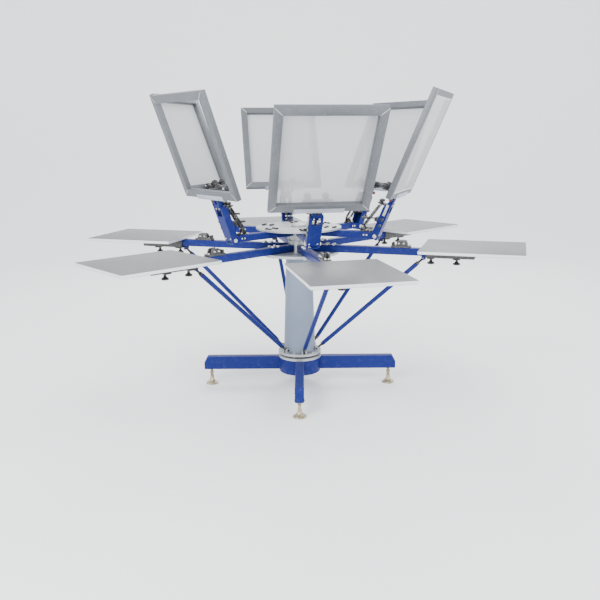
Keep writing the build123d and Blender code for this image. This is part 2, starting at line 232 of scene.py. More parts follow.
def round_box(width, depth, radius, steps=5, centre=(0.0, 0.0)):
    """A rectangle whose corners are quarter circles."""
    turn = np.linspace(0, math.pi / 2, steps)
    arcs = []
    for quarter, (x, y) in enumerate(((1, 1), (-1, 1), (-1, -1), (1, -1))):
        angle = turn + quarter * math.pi / 2
        hub = np.array([x * (width / 2 - radius), y * (depth / 2 - radius)])
        arcs.append(hub + radius * np.column_stack([np.cos(angle), np.sin(angle)]))
    return np.concatenate(arcs) + np.array(centre)


def hexagon(across, start=0.0):
    turn = start + np.arange(6) * math.pi / 3
    return across / math.sqrt(3) * np.column_stack([np.cos(turn), np.sin(turn)])


def lobed(radius, depth, lobes, facets=72):
    """A knob's outline: the radius falls and rises with the cosine of the angle times the lobes."""
    turn = np.arange(facets) * 2 * math.pi / facets
    reach = radius - depth * (0.5 - 0.5 * np.cos(lobes * turn)) ** 1.5
    return reach[:, None] * np.column_stack([np.cos(turn), np.sin(turn)])


def tapered_link(near, far, near_radius, far_radius, steps=9):
    """The outline round two circles on one line: two arcs joined by their outer tangents."""
    near, far = np.array(near, float), np.array(far, float)
    gap = far - near
    heading = math.atan2(gap[1], gap[0])
    lean = math.acos((near_radius - far_radius) / np.hypot(*gap))
    ahead = heading + np.linspace(-lean, lean, steps)
    behind = heading + np.linspace(lean, 2 * math.pi - lean, steps)
    outer = far + far_radius * np.column_stack([np.cos(ahead), np.sin(ahead)])
    inner = near + near_radius * np.column_stack([np.cos(behind), np.sin(behind)])
    return np.concatenate([outer, inner])


def inset(outline, amount):
    """The outline moved inwards: each corner goes along the mean of its two edge normals."""
    ahead = np.roll(outline, -1, 0) - outline
    ahead /= np.linalg.norm(ahead, axis=1)[:, None] + 1e-12
    normal = np.column_stack([ahead[:, 1], -ahead[:, 0]])
    mean = normal + np.roll(normal, 1, 0)
    mean /= (mean ** 2).sum(1)[:, None] / 2
    return outline - amount * mean


def slab(outline, z0, z1, edge=0.0008, steps=3):
    """An outline made thick, whose two rims are quarter rounds."""
    turn = np.linspace(0, math.pi / 2, steps)
    rings = [ring_points(inset(outline, edge * (1 - math.sin(t))), z0 + edge * (1 - math.cos(t)))
             for t in turn]
    rings += [ring_points(inset(outline, edge * (1 - math.sin(t))), z1 - edge * (1 - math.cos(t)))
              for t in turn[::-1]]
    return np.array(rings)


def window(outer, inner, z0, z1, edge=0.0006):
    """A flat plate between two outlines of as many points, with small chamfers. It is closed as a loop."""
    rings = [(inset(outer, edge), z0), (outer, z0 + edge), (outer, z1 - edge), (inset(outer, edge), z1),
             (inset(inner, -edge), z1), (inner, z1 - edge), (inner, z0 + edge), (inset(inner, -edge), z0)]
    return np.array([ring_points(outline, z) for outline, z in rings])


def lathe(profile, facets=40):
    """A profile of (radius, height) points turned about the third direction."""
    radius, height = np.array(profile, float).T
    turn = np.arange(facets) * 2 * math.pi / facets
    flat = np.broadcast_to(height[:, None], (len(height), facets))
    return np.stack([radius[:, None] * np.cos(turn), radius[:, None] * np.sin(turn), flat], 2)


def eased(profile, times=2):
    """A profile with each corner cut at a quarter of its two sides, and its ends kept."""
    points = np.array(profile, float)
    for _ in range(times):
        quarter = 0.75 * points[:-1] + 0.25 * points[1:]
        rest = 0.25 * points[:-1] + 0.75 * points[1:]
        points = np.concatenate([points[:1], np.stack([quarter, rest], 1).reshape(-1, 2), points[-1:]])
    return points


def collar(outer, inner, z0, z1, edge=0.0008, facets=64):
    """A ring with a bore: a chamfered rectangle turned about the axis and closed on itself."""
    profile = [(inner, z0), (outer - edge, z0), (outer, z0 + edge), (outer, z1 - edge),
               (outer - edge, z1), (inner, z1)]
    return lathe(profile, facets)


def screw_thread(radius, z0, z1, pitch, depth, facets=20, per_turn=5):
    """A thread: the radius dips as a triangle wave of height over pitch less the turn about the axis."""
    rows = int((z1 - z0) / pitch * per_turn)
    height = np.linspace(z0, z1, rows)[:, None]
    turn = np.arange(facets) * 2 * math.pi / facets
    phase = (height / pitch - turn / (2 * math.pi)) % 1
    reach = radius - depth * np.abs(2 * phase - 1)
    flat = np.broadcast_to(height, reach.shape)
    return np.stack([reach * np.cos(turn), reach * np.sin(turn), flat], 2)


def pipe(path, radius, facets=12, upwards=UPRIGHT):
    """A round bar along a path: each ring lies across the path's direction at that point."""
    path = np.array(path, float)
    ahead = np.gradient(path, axis=0)
    ahead /= np.linalg.norm(ahead, axis=1)[:, None]
    side = np.cross(ahead, upwards)
    side /= np.linalg.norm(side, axis=1)[:, None]
    rise = np.cross(side, ahead)
    turn = np.arange(facets) * 2 * math.pi / facets
    radius = np.broadcast_to(radius, len(path))[:, None, None]
    round_it = np.cos(turn)[None, :, None] * side[:, None] + np.sin(turn)[None, :, None] * -rise[:, None]
    return path[:, None] + radius * round_it


def bar(low, high, along=0, radius=0.003, edge=0.0008, steps=4):
    """A bar between two corners, with rounded long edges and small end rims."""
    low, high = np.array(low, float), np.array(high, float)
    across, up = (along + 1) % 3, (along + 2) % 3
    middle = (low + high) / 2
    outline = round_box(high[across] - low[across], high[up] - low[up], radius, steps,
                        (middle[across], middle[up]))
    rings = slab(outline, low[along], high[along], edge)
    placed = np.empty_like(rings)
    placed[:, :, across] = rings[:, :, 0]
    placed[:, :, up] = rings[:, :, 1]
    placed[:, :, along] = rings[:, :, 2]
    return placed


def bolt(skin, place, across, height, washer=True):
    """A hexagon head with a turned crown, on a washer."""
    if washer:
        skin.add(slab(circle(across * 0.64, 28), 0, 0.0016, 0.0003), place)
    seat = 0.0016 if washer else 0.0
    skin.add(slab(hexagon(across), seat, seat + height * 0.86, 0.0006), place)
    crown = [(across * 0.5, seat + height * 0.8), (across * 0.49, seat + height * 0.9),
             (across * 0.44, seat + height), (across * 0.02, seat + height)]
    skin.add(lathe(crown, 24), place)


def star_knob(skin, place, radius, height, lobes=5, stem=0.0):
    """A lobed grip with a domed crown, over a stem that starts a stem's length below it."""
    outline = lobed(radius, radius * 0.3, lobes)
    heights = (0, 0.08, 0.25, 0.6, 0.85, 0.96, 1.0)
    widths = (0.62, 0.82, 0.97, 1.0, 0.92, 0.72, 0.4)
    rings = [ring_points(outline * w, height * h) for h, w in zip(heights, widths)]
    skin.add(np.array(rings), place)
    if stem:
        skin.add(lathe(eased([(radius * 0.3, -stem), (radius * 0.32, -stem * 0.3), (radius * 0.6, 0.0),
                              (radius * 0.6, 0.001)], 1), 24), place)


def piece(name, skin, finishes, body, replaces=(), sharp=35):
    """Makes the mesh a piece that stands for CAD nodes. It rides on the body, unless that is None."""
    made = bpy.data.objects.new(name, skin.mesh(name, sharp))
    bpy.context.scene.collection.objects.link(made)
    for finish in finishes:
        made.data.materials.append(FINISHES[finish]())
    if body:
        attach(made, body)
    if replaces:
        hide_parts(*replaces)
    return made


def coat_node(node, finish):
    """Gives a CAD node a finish."""
    kept = frame["nodes"][node]
    for place in kept.material_slots:
        place.material = FINISHES[finish]()
    if not kept.material_slots:
        kept.data.materials.append(FINISHES[finish]())


# ---------------------------------------------------------------- finishes

class Value:
    """A socket that is added, taken away, multiplied, divided and raised like a number."""

    def __init__(self, finish, socket):
        self.finish = finish
        self.socket = socket

    def math(self, operation, *others):
        return self.finish.node("ShaderNodeMath", {"operation": operation}, {0: self, **{
            i + 1: other for i, other in enumerate(others)}})

    def __add__(self, other):
        return self.math("ADD", other)

    def __sub__(self, other):
        return self.math("SUBTRACT", other)

    def __mul__(self, other):
        return self.math("MULTIPLY", other)

    def __truediv__(self, other):
        return self.math("DIVIDE", other)

    def __pow__(self, other):
        return self.math("POWER", other)

    def __rsub__(self, other):
        return self.finish.node("ShaderNodeMath", {"operation": "SUBTRACT"}, {0: other, 1: self})

    __radd__ = __add__
    __rmul__ = __mul__

    def above(self, edge, soft):
        """0 below an edge and 1 above it, over a soft width."""
        return self.finish.node("ShaderNodeMapRange", {"interpolation_type": "SMOOTHSTEP"}, {
            "Value": self, "From Min": edge - soft, "From Max": edge + soft})


class Finish:
    """A material being made from nodes."""

    def __init__(self, name):
        self.material = bpy.data.materials.new(name)
        self.material.use_nodes = True
        self.tree = self.material.node_tree
        self.shader = self.tree.nodes["Principled BSDF"]

    def node(self, kind, settings=None, sockets=None, out=0):
        """Adds a node: its settings first, then the values or links of its sockets. Gives an output."""
        made = self.tree.nodes.new(kind)
        for key, value in (settings or {}).items():
            setattr(made, key, value)
        for key, value in (sockets or {}).items():
            if isinstance(value, Value):
                self.tree.links.new(value.socket, made.inputs[key])
            else:
                made.inputs[key].default_value = value
        return Value(self, made.outputs[out])

    def where(self):
        return self.node("ShaderNodeTexCoord", out="Object")

    def surface(self, along=1.0, across=1.0):
        """The place on the surface, in metres, stretched each way."""
        spot = self.node("ShaderNodeTexCoord", out="UV")
        return self.node("ShaderNodeVectorMath", {"operation": "MULTIPLY"}, {0: spot, 1: (along, across, 1)})

    def noise(self, scale, detail=3.0, vector=None, rough=0.5):
        return self.node("ShaderNodeTexNoise", {}, {"Vector": vector or self.where(), "Scale": scale,
                                                    "Detail": detail, "Roughness": rough})

    def cells(self, scale, vector=None):
        return self.node("ShaderNodeTexVoronoi", {}, {"Vector": vector or self.where(), "Scale": scale})

    def radius(self):
        """The distance from the upright axis."""
        spot = self.node("ShaderNodeSeparateXYZ", {}, {0: self.where()})
        side = Value(self, spot.socket.node.outputs[1])
        return (spot * spot + side * side) ** 0.5

    def blend(self, factor, first, second):
        """A colour between two, by a factor."""
        sockets = {0: factor, 6: first, 7: second}
        return self.node("ShaderNodeMix", {"data_type": "RGBA"}, sockets, out=2)

    def set(self, **sockets):
        for key, value in sockets.items():
            socket = self.shader.inputs[key.replace("_", " ").title().replace("Ior", "IOR")]
            if isinstance(value, Value):
                self.tree.links.new(value.socket, socket)
            else:
                socket.default_value = value
        return self

    def bump(self, height, depth, strength=1.0):
        """Raises the surface by a height times a depth in metres."""
        normal = self.node("ShaderNodeBump", {}, {"Height": height, "Distance": depth,
                                                  "Strength": strength})
        self.tree.links.new(normal.socket, self.shader.inputs["Normal"])
        return self


def rgba(colour, gain=1.0):
    return (*(min(1.0, channel * gain) for channel in colour), 1.0)


def enamel(name, colour, gloss):
    """Sprayed enamel: slow drift of tone, orange peel, dust that lies thin, and a few chips."""
    finish = Finish(name)
    drift = finish.noise(3.5, 2)
    dust = finish.noise(38, 6, rough=0.7)
    chips = finish.cells(42).math("MULTIPLY", -1.0) + finish.noise(16, 4)
    chipped = chips.above(0.66, 0.015)
    toned = finish.blend(drift, rgba(colour, 0.82), rgba(colour, 1.18))
    dusty = finish.blend(dust.above(0.62, 0.12) * 0.05, toned, rgba((0.45, 0.47, 0.52)))
    bare = finish.blend(chipped * 0.55, dusty, rgba(colour, 0.35))
    finish.set(base_color=bare, roughness=dust * 0.22 + (gloss - 0.06), coat_weight=0.04)
    finish.set(coat_roughness=0.18, specular_ior_level=0.12)
    return finish.bump(finish.noise(420, 2) + dust * 0.6 - chipped * 1.5, 0.00025).material


def blue_enamel():
    return enamel("blue_enamel", colours().frame_blue, 0.34)


def column_enamel():
    return enamel("column_enamel", colours().column_grey, 0.36)


def turned_steel():
    """Plated steel turned on a lathe: fine rings about the axis under cloudy plating."""
    finish = Finish("turned_steel")
    rings = finish.radius().math("MULTIPLY", 5200.0).math("SINE")
    clouds = finish.noise(14, 5)
    tone = finish.blend(clouds, rgba(colours().plated_steel, 0.78), rgba(colours().plated_steel, 1.12))
    spots = finish.noise(60, 6, rough=0.7).above(0.64, 0.06)
    stained = finish.blend(spots * 0.5, tone, rgba((0.2, 0.2, 0.2)))
    finish.set(base_color=stained, metallic=0.55, roughness=clouds * 0.25 + 0.3 + rings * 0.03)
    return finish.bump(rings * 0.4 + finish.noise(300, 3), 0.00012).material


def ground_steel():
    """Ground bar: streaks along the surface."""
    finish = Finish("ground_steel")
    streak = finish.noise(30, 4, finish.surface(1, 60))
    finish.set(base_color=finish.blend(streak, rgba((0.42, 0.43, 0.45)), rgba((0.66, 0.67, 0.69))))
    finish.set(metallic=1.0, roughness=streak * 0.2 + 0.22)
    return finish.bump(streak, 0.00008).material


def zinc_plate():
    """Zinc plating with a faint yellow passivation and dull patches."""
    finish = Finish("zinc_plate")
    patch = finish.noise(90, 4)
    finish.set(base_color=finish.blend(patch, rgba((0.5, 0.51, 0.53)), rgba((0.74, 0.72, 0.66))))
    finish.set(metallic=0.9, roughness=patch * 0.25 + 0.24)
    return finish.bump(finish.noise(900, 2), 0.00006).material


def dark_steel():
    """Oiled black steel, worn brighter in patches."""
    finish = Finish("dark_steel")
    worn = finish.noise(70, 5, rough=0.65).above(0.58, 0.1)
    finish.set(base_color=finish.blend(worn, rgba((0.03, 0.031, 0.034)), rgba((0.2, 0.19, 0.18))))
    finish.set(metallic=0.75, roughness=0.46 - worn * 0.14)
    return finish.bump(finish.noise(600, 3), 0.0001).material


def hammered_black():
    """Black hammered enamel: dimples with silver flecks between them."""
    finish = Finish("hammered_black")
    dimple = finish.cells(260)
    fleck = finish.noise(420, 3).above(0.63, 0.05)
    finish.set(base_color=finish.blend(fleck * 0.8, rgba((0.018, 0.018, 0.02)), rgba((0.33, 0.32, 0.28))))
    finish.set(metallic=fleck * 0.6, roughness=dimple * 0.3 + 0.28, coat_weight=0.3)
    return finish.bump(dimple, 0.0005).material


def knob_plastic():
    """Moulded black plastic with a fine spark-eroded grain and polished patches."""
    finish = Finish("knob_plastic")
    rub = finish.noise(45, 4)
    finish.set(base_color=finish.blend(rub, rgba((0.008, 0.008, 0.009)), rgba((0.028, 0.028, 0.03))))
    finish.set(roughness=0.5 - rub * 0.28, coat_weight=0.1)
    return finish.bump(finish.noise(1600, 2), 0.00012).material


def red_plastic():
    finish = Finish("red_plastic")
    rub = finish.noise(60, 3)
    finish.set(base_color=finish.blend(rub, rgba((0.07, 0.012, 0.014)), rgba((0.16, 0.03, 0.03))))
    finish.set(roughness=0.42 - rub * 0.16)
    return finish.bump(finish.noise(1500, 2), 0.0001).material


def frame_aluminium():
    """Extruded aluminium sanded along its length, with ink stains that were wiped thin."""
    finish = Finish("frame_aluminium")
    streak = finish.noise(9, 5, finish.surface(1, 90), 0.62)
    scratch = finish.noise(40, 3, finish.surface(1, 14)).above(0.66, 0.03)
    stain = finish.noise(7, 5, rough=0.6).above(0.56, 0.12)
    plain = finish.blend(streak, rgba(colours().aluminium, 0.84), rgba(colours().aluminium, 1.14))
    stained = finish.blend(stain * 0.22, plain, rgba((0.24, 0.25, 0.28)))
    finish.set(base_color=finish.blend(scratch * 0.3, stained, rgba((0.75, 0.76, 0.77))))
    finish.set(metallic=0.5, roughness=streak * 0.2 + 0.34 + stain * 0.1)
    return finish.bump(streak + scratch * 0.5, 0.00008).material


def weld_aluminium():
    """The cleaned weld across a mitre: ripples under a linished face."""
    finish = Finish("weld_aluminium")
    ripple = finish.noise(300, 3)
    finish.set(base_color=finish.blend(ripple, rgba((0.4, 0.41, 0.42)), rgba((0.7, 0.7, 0.71))))
    finish.set(metallic=0.6, roughness=0.4 + ripple * 0.15)
    return finish.bump(ripple, 0.0003).material


def edge_distance(finish, width, length):
    """The distance in from the nearest edge of a sheet whose surface runs from 0 to its size."""
    spot = finish.node("ShaderNodeSeparateXYZ", {}, {0: finish.surface()})
    v = Value(finish, spot.socket.node.outputs[1])
    near = spot.math("MINIMUM", length - spot)
    return near.math("MINIMUM", v.math("MINIMUM", width - v))


def tensioned_mesh():
    """White polyester mesh: threads both ways, a faint ghost of old work, and a pale glued border."""
    finish = Finish("tensioned_mesh")
    spot = finish.node("ShaderNodeSeparateXYZ", {}, {0: finish.surface()})
    v = Value(finish, spot.socket.node.outputs[1])
    threads = (spot * 5200.0).math("SINE") * 0.25 + (v * 5200.0).math("SINE") * 0.25 + 0.5
    border = 1 - edge_distance(finish, MESH_WIDTH, MESH_LENGTH).above(0.009, 0.0012)
    ghost = finish.noise(5, 3)
    white = finish.blend(ghost, rgba(colours().mesh_white, 0.95), rgba(colours().mesh_white, 1.02))
    glued = finish.blend(border * 0.75, white, rgba((0.6, 0.6, 0.58)))
    cover = threads * 0.08 + (colours().mesh_cover - 0.04) + border * 0.3
    finish.set(base_color=glued, alpha=cover, roughness=0.55 - border * 0.2)
    finish.set(sheen_weight=0.15, sheen_roughness=0.4)
    return finish.bump(threads, 0.00006).material


def board_laminate():
    """Pale melamine on a platen: a fine fleck, soft scuffs and a haze of old adhesive."""
    finish = Finish("board_laminate")
    fleck = finish.noise(700, 3)
    haze = finish.noise(4.5, 4)
    scuff = finish.noise(26, 6, rough=0.75).above(0.6, 0.08)
    base = finish.blend(haze, rgba(colours().laminate, 0.9), rgba(colours().laminate, 1.06))
    flecked = finish.blend(fleck.above(0.6, 0.08) * 0.12, base, rgba((0.3, 0.3, 0.31)))
    finish.set(base_color=finish.blend(scuff * 0.1, flecked, rgba((0.4, 0.4, 0.38))))
    finish.set(roughness=0.36 + haze * 0.12 + scuff * 0.1)
    return finish.bump(fleck + scuff * 0.5, 0.00006).material


def edge_trim():
    """A bright band round a board, brushed along its length."""
    finish = Finish("edge_trim")
    streak = finish.noise(12, 4, finish.surface(60, 1))
    finish.set(base_color=finish.blend(streak, rgba((0.66, 0.67, 0.69)), rgba((0.9, 0.9, 0.92))))
    finish.set(metallic=0.55, roughness=0.3 + streak * 0.15)
    return finish.bump(streak, 0.00005).material


def foot_bronze():
    """Yellow-zinc plating gone dull and brown in patches."""
    finish = Finish("foot_bronze")
    patch = finish.noise(80, 5, rough=0.65)
    grime = finish.noise(30, 4).above(0.55, 0.1)
    plated = finish.blend(patch, rgba((0.36, 0.28, 0.17)), rgba((0.66, 0.58, 0.42)))
    finish.set(base_color=finish.blend(grime * 0.6, plated, rgba((0.09, 0.075, 0.06))))
    finish.set(metallic=0.85, roughness=0.3 + grime * 0.25)
    return finish.bump(patch, 0.0002).material


def clamp_plate():
    """Bright zinc on folded plate, with a cool cast and cloudy patches."""
    finish = Finish("clamp_plate")
    cloud = finish.noise(22, 5)
    finish.set(base_color=finish.blend(cloud, rgba(colours().clamp_white, 0.86), rgba(colours().clamp_white)))
    finish.set(metallic=0.45, roughness=0.3 + cloud * 0.2)
    return finish.bump(finish.noise(500, 3), 0.00008).material


def rubber_black():
    finish = Finish("rubber_black")
    grain = finish.noise(500, 3)
    finish.set(base_color=finish.blend(grain, rgba((0.012, 0.012, 0.012)), rgba((0.035, 0.035, 0.035))))
    finish.set(roughness=0.75 - grain * 0.1)
    return finish.bump(grain, 0.0002).material


MADE = {}


def once(make):
    """Gives the same material each time it is asked for."""
    def give():
        if make.__name__ not in MADE:
            MADE[make.__name__] = make()
        return MADE[make.__name__]
    return give


FINISHES = {make.__name__: once(make) for make in (
    blue_enamel, column_enamel, turned_steel, ground_steel, zinc_plate, dark_steel, hammered_black,
    knob_plastic, red_plastic, frame_aluminium, weld_aluminium, tensioned_mesh, board_laminate, edge_trim,
    foot_bronze, clamp_plate, rubber_black)}


# ---------------------------------------------------------------- sizes and colours

def tint(name, words, default):
    return bpy.props.FloatVectorProperty(name=name, description=words, default=default, size=3,
                                         subtype="COLOR", min=0, max=1)


def reach(name, words, default):
    return bpy.props.FloatProperty(name=name, description=words, default=default, min=0,
                                   unit="LENGTH", precision=4)


class CarouselColours(bpy.types.PropertyGroup):
    """The colours of the finishes."""
    frame_blue: tint("Frame Blue", "Enamel on the arms, legs and heads", (0.009, 0.017, 0.14))
    column_grey: tint("Column Grey", "Enamel on the column", (0.19, 0.23, 0.3))
    plated_steel: tint("Plated Steel", "Flanges and discs", (0.44, 0.46, 0.48))
    aluminium: tint("Aluminium", "Bars of the screen frames", (0.14, 0.15, 0.163))
    clamp_white: tint("Clamp Zinc", "Plates that hold the screens", (0.46, 0.48, 0.54))
    mesh_white: tint("Mesh White", "Threads of the mesh", (0.49, 0.5, 0.52))
    laminate: tint("Laminate", "Faces of the platens", (0.13, 0.134, 0.142))
    mesh_cover: bpy.props.FloatProperty(name="Mesh Cover", description="How much of the light the mesh stops",
                                        default=0.84, min=0, max=1, subtype="FACTOR")


class CarouselSizes(bpy.types.PropertyGroup):
    """The sizes that finish the pieces."""
    tube_corner: reach("Tube Corner", "Radius of the long edges of the square tubes", 0.005)
    plate_edge: reach("Plate Edge", "Rounding of the rims of plates", 0.0008)
    weld_bead: reach("Weld Bead", "Radius of the weld beads", 0.003)
    spring_wire: reach("Spring Wire", "Diameter of the lift springs' wire", 0.0026)
    spring_coil: reach("Spring Coil", "Diameter of the lift springs", 0.015)
    knob_radius: reach("Knob Radius", "Radius of the big clamping knobs", 0.019)
    thread_depth: reach("Thread Depth", "Depth of the screw threads", 0.0011)


def sizes():
    return bpy.context.scene.carousel_sizes


def colours():
    return bpy.context.scene.carousel_colours


# ---------------------------------------------------------------- driving sizes of the pieces

# Heights and radii read from the frame
LEG_TOP = top("base_frame")
ARM_TOP = top("hub_bolts") - 9 * MM
ARM_BOTTOM = bottom("platen_hub") + 14 * MM
FLANGE_TOP = bottom("column_tube")
FOOT_R = float(corner("levelling_foot_1", 0)[0] + corner("levelling_foot_1", 1)[0]) / 2
DRUM_R = 123 * MM
HEAD_ARM_TOP = top("upper_disc") - 10 * MM
HEAD_ARM_BOTTOM = HEAD_ARM_TOP - 38 * MM
PLATEN_TOP = top("platen_1")
PLATEN_UNDER = bottom("platen_1")

ARM_HALF = 25 * MM
ARM_START = 62 * MM
PLATEN_ARM_END = 1010 * MM
HEAD_ARM_END = 425 * MM
PLATEN_START = 722 * MM
PLATEN_LENGTH = 545 * MM
PLATEN_WIDTH = 466 * MM
BRACE_FOOT = np.array([110, 0, 231]) * MM
BRACE_HEAD = np.array([728, 0, 806]) * MM

# Print heads, in their own frames
CHANNEL_HALF = 35 * MM
CHANNEL_T = 3 * MM
CHANNEL_UNDER = -19 * MM
CHANNEL_RIM = 21 * MM
CHANNEL_START = -18 * MM
CHANNEL_END = 200 * MM
FRAME_START = 256.5 * MM
FRAME_HALF = 250 * MM
FRAME_UNDER = -40 * MM
FRAME_OVER = -12 * MM
FRAME_BAR = 40 * MM
FRAME_LENGTHS = {k: (548.5 if k == 5 else 582) * MM for k in STATIONS}
MESH_UP = (6,)                  # heads whose mesh lies on the clamped face of the bars
MESH_LAP = 10 * MM
MESH_OFF = 0.4 * MM             # from the bars to the middle of the mesh
MESH_WIDTH = 2 * (FRAME_HALF - FRAME_BAR + MESH_LAP)
MESH_LENGTH = FRAME_LENGTHS[1] - 2 * (FRAME_BAR - MESH_LAP)
CLAMP_HALF = 125 * MM
JAW_HALF = 75 * MM
JAW_TOP = 24 * MM
CLAMP_KNOB = (276 * MM, 45.5 * MM)
SPRING_SIDE = 17 * MM
SPRING_POST = 391 * MM          # from the press's axis
SPRING_HOOK = 174 * MM          # from the hinge
HOOK_HEIGHT = 46 * MM
SPRING_TURNS = 34


# ---------------------------------------------------------------- base

def make_feet():
    """Each foot is a bell turned from an eased profile, under a threaded rod with two wrench flats."""
    for k in range(1, 5):
        turn = (k - 1) * math.pi / 2
        place = spoke(turn).shifted(FOOT_R, 0, 0)
        skin = Skin()
        bell = eased([(0.034, 0), (0.037, 0.001), (0.0372, 0.005), (0.031, 0.0105), (0.022, 0.0165),
                      (0.0145, 0.024), (0.012, 0.032), (0.0115, 0.044), (0.0085, 0.0465)], 3)
        skin.add(lathe(bell, 48), place)
        skin.add(slab(hexagon(0.019), 0.0465, 0.0545), place)
        skin.add(screw_thread(0.008, 0.0545, 0.12, 0.0025, sizes().thread_depth, 24), place)
        piece(f"levelling_foot_{k}_turned", skin, ["foot_bronze"], f"foot_{k}",
              [f"levelling_foot_{k}"])


def make_lock_nuts():
    """Hexagon nuts on the side feet and flared nuts, like upturned cones, on the other two."""
    skin = Skin()
    under = bottom("base_frame") + 10 * MM
    for k in range(4):
        place = spoke(k * math.pi / 2).shifted(FOOT_R, 0, 0)
        if k % 2 == 0:
            profile = [(0.0082, 0.066), (0.0115, 0.066), (0.0125, 0.067), (0.0125, 0.077),
                       (0.0115, 0.078), (0.0082, 0.078)]
            skin.add(lathe(profile, 6), place, loop=True)
            skin.add(collar(0.016, 0.0082, under - 2.5 * MM, under), place, loop=True)
        else:
            flare = eased([(0.0125, 0.076), (0.0135, 0.0785), (0.02, 0.084), (0.0275, under - 5 * MM),
                           (0.0295, under - 3 * MM), (0.0295, under)], 2)
            hollow = [(0.0082, under), (0.0082, 0.076)]
            skin.add(lathe(np.concatenate([flare, hollow]), 40), place, loop=True)
    piece("foot_nuts_turned", skin, ["foot_bronze"], "base", ["foot_lock_nuts"])


def make_welds():
    """A rippled bead where each leg meets the drum: the leg's outline wrapped onto the drum's wall."""
    skin = Skin()
    section = round_box(50 * MM, 80 * MM, 6 * MM, 8)
    height = section[:, 1] + LEG_TOP - 40 * MM
    below = height < LEG_TOP - 5 * MM
    side, height = section[below][:, 0], height[below]
    order = np.argsort(np.arctan2(side, height - LEG_TOP))
    order = np.argsort(np.arctan2(side[order], LEG_TOP - height[order]))
    side, height = side[order], height[order]
    reach = np.append(0, np.cumsum(np.hypot(np.diff(side), np.diff(height))))
    steps = np.linspace(0, reach[-1], 160)
    side, height = np.interp(steps, reach, side), np.interp(steps, reach, height)
    path = np.column_stack([np.sqrt(DRUM_R ** 2 - side ** 2), side, height])
    radius = sizes().weld_bead * (1 + 0.14 * np.sin(steps / (3.2 * MM) * 2 * math.pi))
    for k in range(4):
        skin.add(pipe(path, radius, 10, np.array([1.0, 0, 0])), spoke(k * math.pi / 2))
    piece("leg_welds", skin, ["blue_enamel"], "base")


def make_column():
    """The tapering column, with a weld bead at its foot and at its head."""
    low, high = bottom("column_tube"), top("column_tube")
    foot, head = float(corner("column_tube", 1)[0]), 75 * MM
    outside = np.column_stack([np.linspace(foot, head, 12), np.linspace(low, high, 12)])
    inside = outside[::-1] - np.array([4 * MM, 0])
    skin = Skin()
    skin.add(lathe(np.concatenate([outside, inside]), 96), loop=True)
    turn = np.linspace(0, 2 * math.pi, 181)[:-1]
    for radius, height in ((foot, low), (head, high)):
        ripple = sizes().weld_bead * (1 + 0.1 * np.sin(60 * turn))
        ahead = np.column_stack([np.cos(turn), np.sin(turn), np.zeros(180)])
        around = np.linspace(0, 2 * math.pi, 11)[:-1]
        hub = ahead * radius + UPRIGHT * (height + (3 * MM if height == low else -3 * MM))
        bead = (hub[:, None] + ripple[:, None, None] * (np.cos(around)[None, :, None] * ahead[:, None]
                                                        + np.sin(around)[None, :, None] * UPRIGHT))
        skin.add(bead, loop=True)
    piece("column_welded", skin, ["column_enamel"], "platen_carousel", ["column_tube"])


def make_fasteners():
    """Hexagon bolts through the arms, above and below the hub plate, and on the upper disc."""
    skin = Skin()
    for k in STATIONS:
        for radius in (172 * MM, 212 * MM):
            for side in (-14 * MM, 14 * MM):
                above = platen_spoke(k).shifted(radius, side, ARM_TOP)
                bolt(skin, above, 17 * MM, 7 * MM)
                under = platen_spoke(k).shifted(radius, side, bottom("platen_hub"))
                bolt(skin, under.pointing((0, 0, -1)), 17 * MM, 6 * MM)
    piece("hub_hex_bolts", skin, ["zinc_plate"], "platen_carousel", ["hub_bolts"])
    skin = Skin()
    for k in STATIONS:
        for radius in (170 * MM, 218 * MM):
            for side in (-15 * MM, 15 * MM):
                bolt(skin, head_spoke(k).shifted(radius, side, top("upper_disc")), 17 * MM, 6 * MM)
    piece("disc_hex_bolts", skin, ["dark_steel"], "head_carousel", ["disc_bolts"])


def make_cap():
    """A turned dome over the spindle nut."""
    seat = bottom("hub_cap")
    skin = Skin()
    dome = eased([(0.044, seat), (0.046, seat + 1 * MM), (0.046, seat + 8 * MM), (0.0445, seat + 9.5 * MM),
                  (0.038, seat + 15 * MM), (0.022, seat + 20 * MM), (0.006, seat + 21.8 * MM),
                  (0.001, seat + 22 * MM)], 2)
    skin.add(lathe(dome, 72))
    piece("spindle_cap_turned", skin, ["turned_steel"], "base", ["hub_cap"])


# ---------------------------------------------------------------- platen carousel

def ears(skin, place, radius, height, plate, half_gap, thick, up):
    """A pair of lugs from a plate to a pivot: a half circle round the pivot with straight sides."""
    turn = np.linspace(0, math.pi, 15)
    arc = np.column_stack([radius + 12 * MM * np.cos(turn), height + up * 11 * MM * np.sin(turn)])
    outline = np.concatenate([arc, [[radius - 12 * MM, plate], [radius + 12 * MM, plate]]])
    if up < 0:
        outline = outline[::-1]
    for side in (half_gap, -half_gap - thick):
        rings = slab(outline, side, side + thick, 0.0008)
        skin.add(rings[:, :, [0, 2, 1]], place)


def make_flange():
    """The turning flange, chamfered, with its pairs of ears and a ring of cap screws."""
    low, high = top("thrust_bearing") + 0.3 * MM, FLANGE_TOP
    skin = Skin()
    skin.add(collar(128.5 * MM, 30.1 * MM, low, high, 1.2 * MM, 96), loop=True)
    for k in STATIONS:
        ears(skin, platen_spoke(k), BRACE_FOOT[0], BRACE_FOOT[2], high, 8.5 * MM, 6 * MM, 1)
        between = platen_spoke(k, 30).shifted(112 * MM, 0, high)
        cup = [(0.0065, 0), (0.0065, 0.006), (0.0058, 0.0068), (0.0034, 0.0068), (0.0032, 0.0035),
               (0.0004, 0.0035)]
        skin.add(lathe(cup, 20), between)
    piece("column_flange_turned", skin, ["turned_steel"], "platen_carousel",
          ["column_flange"])


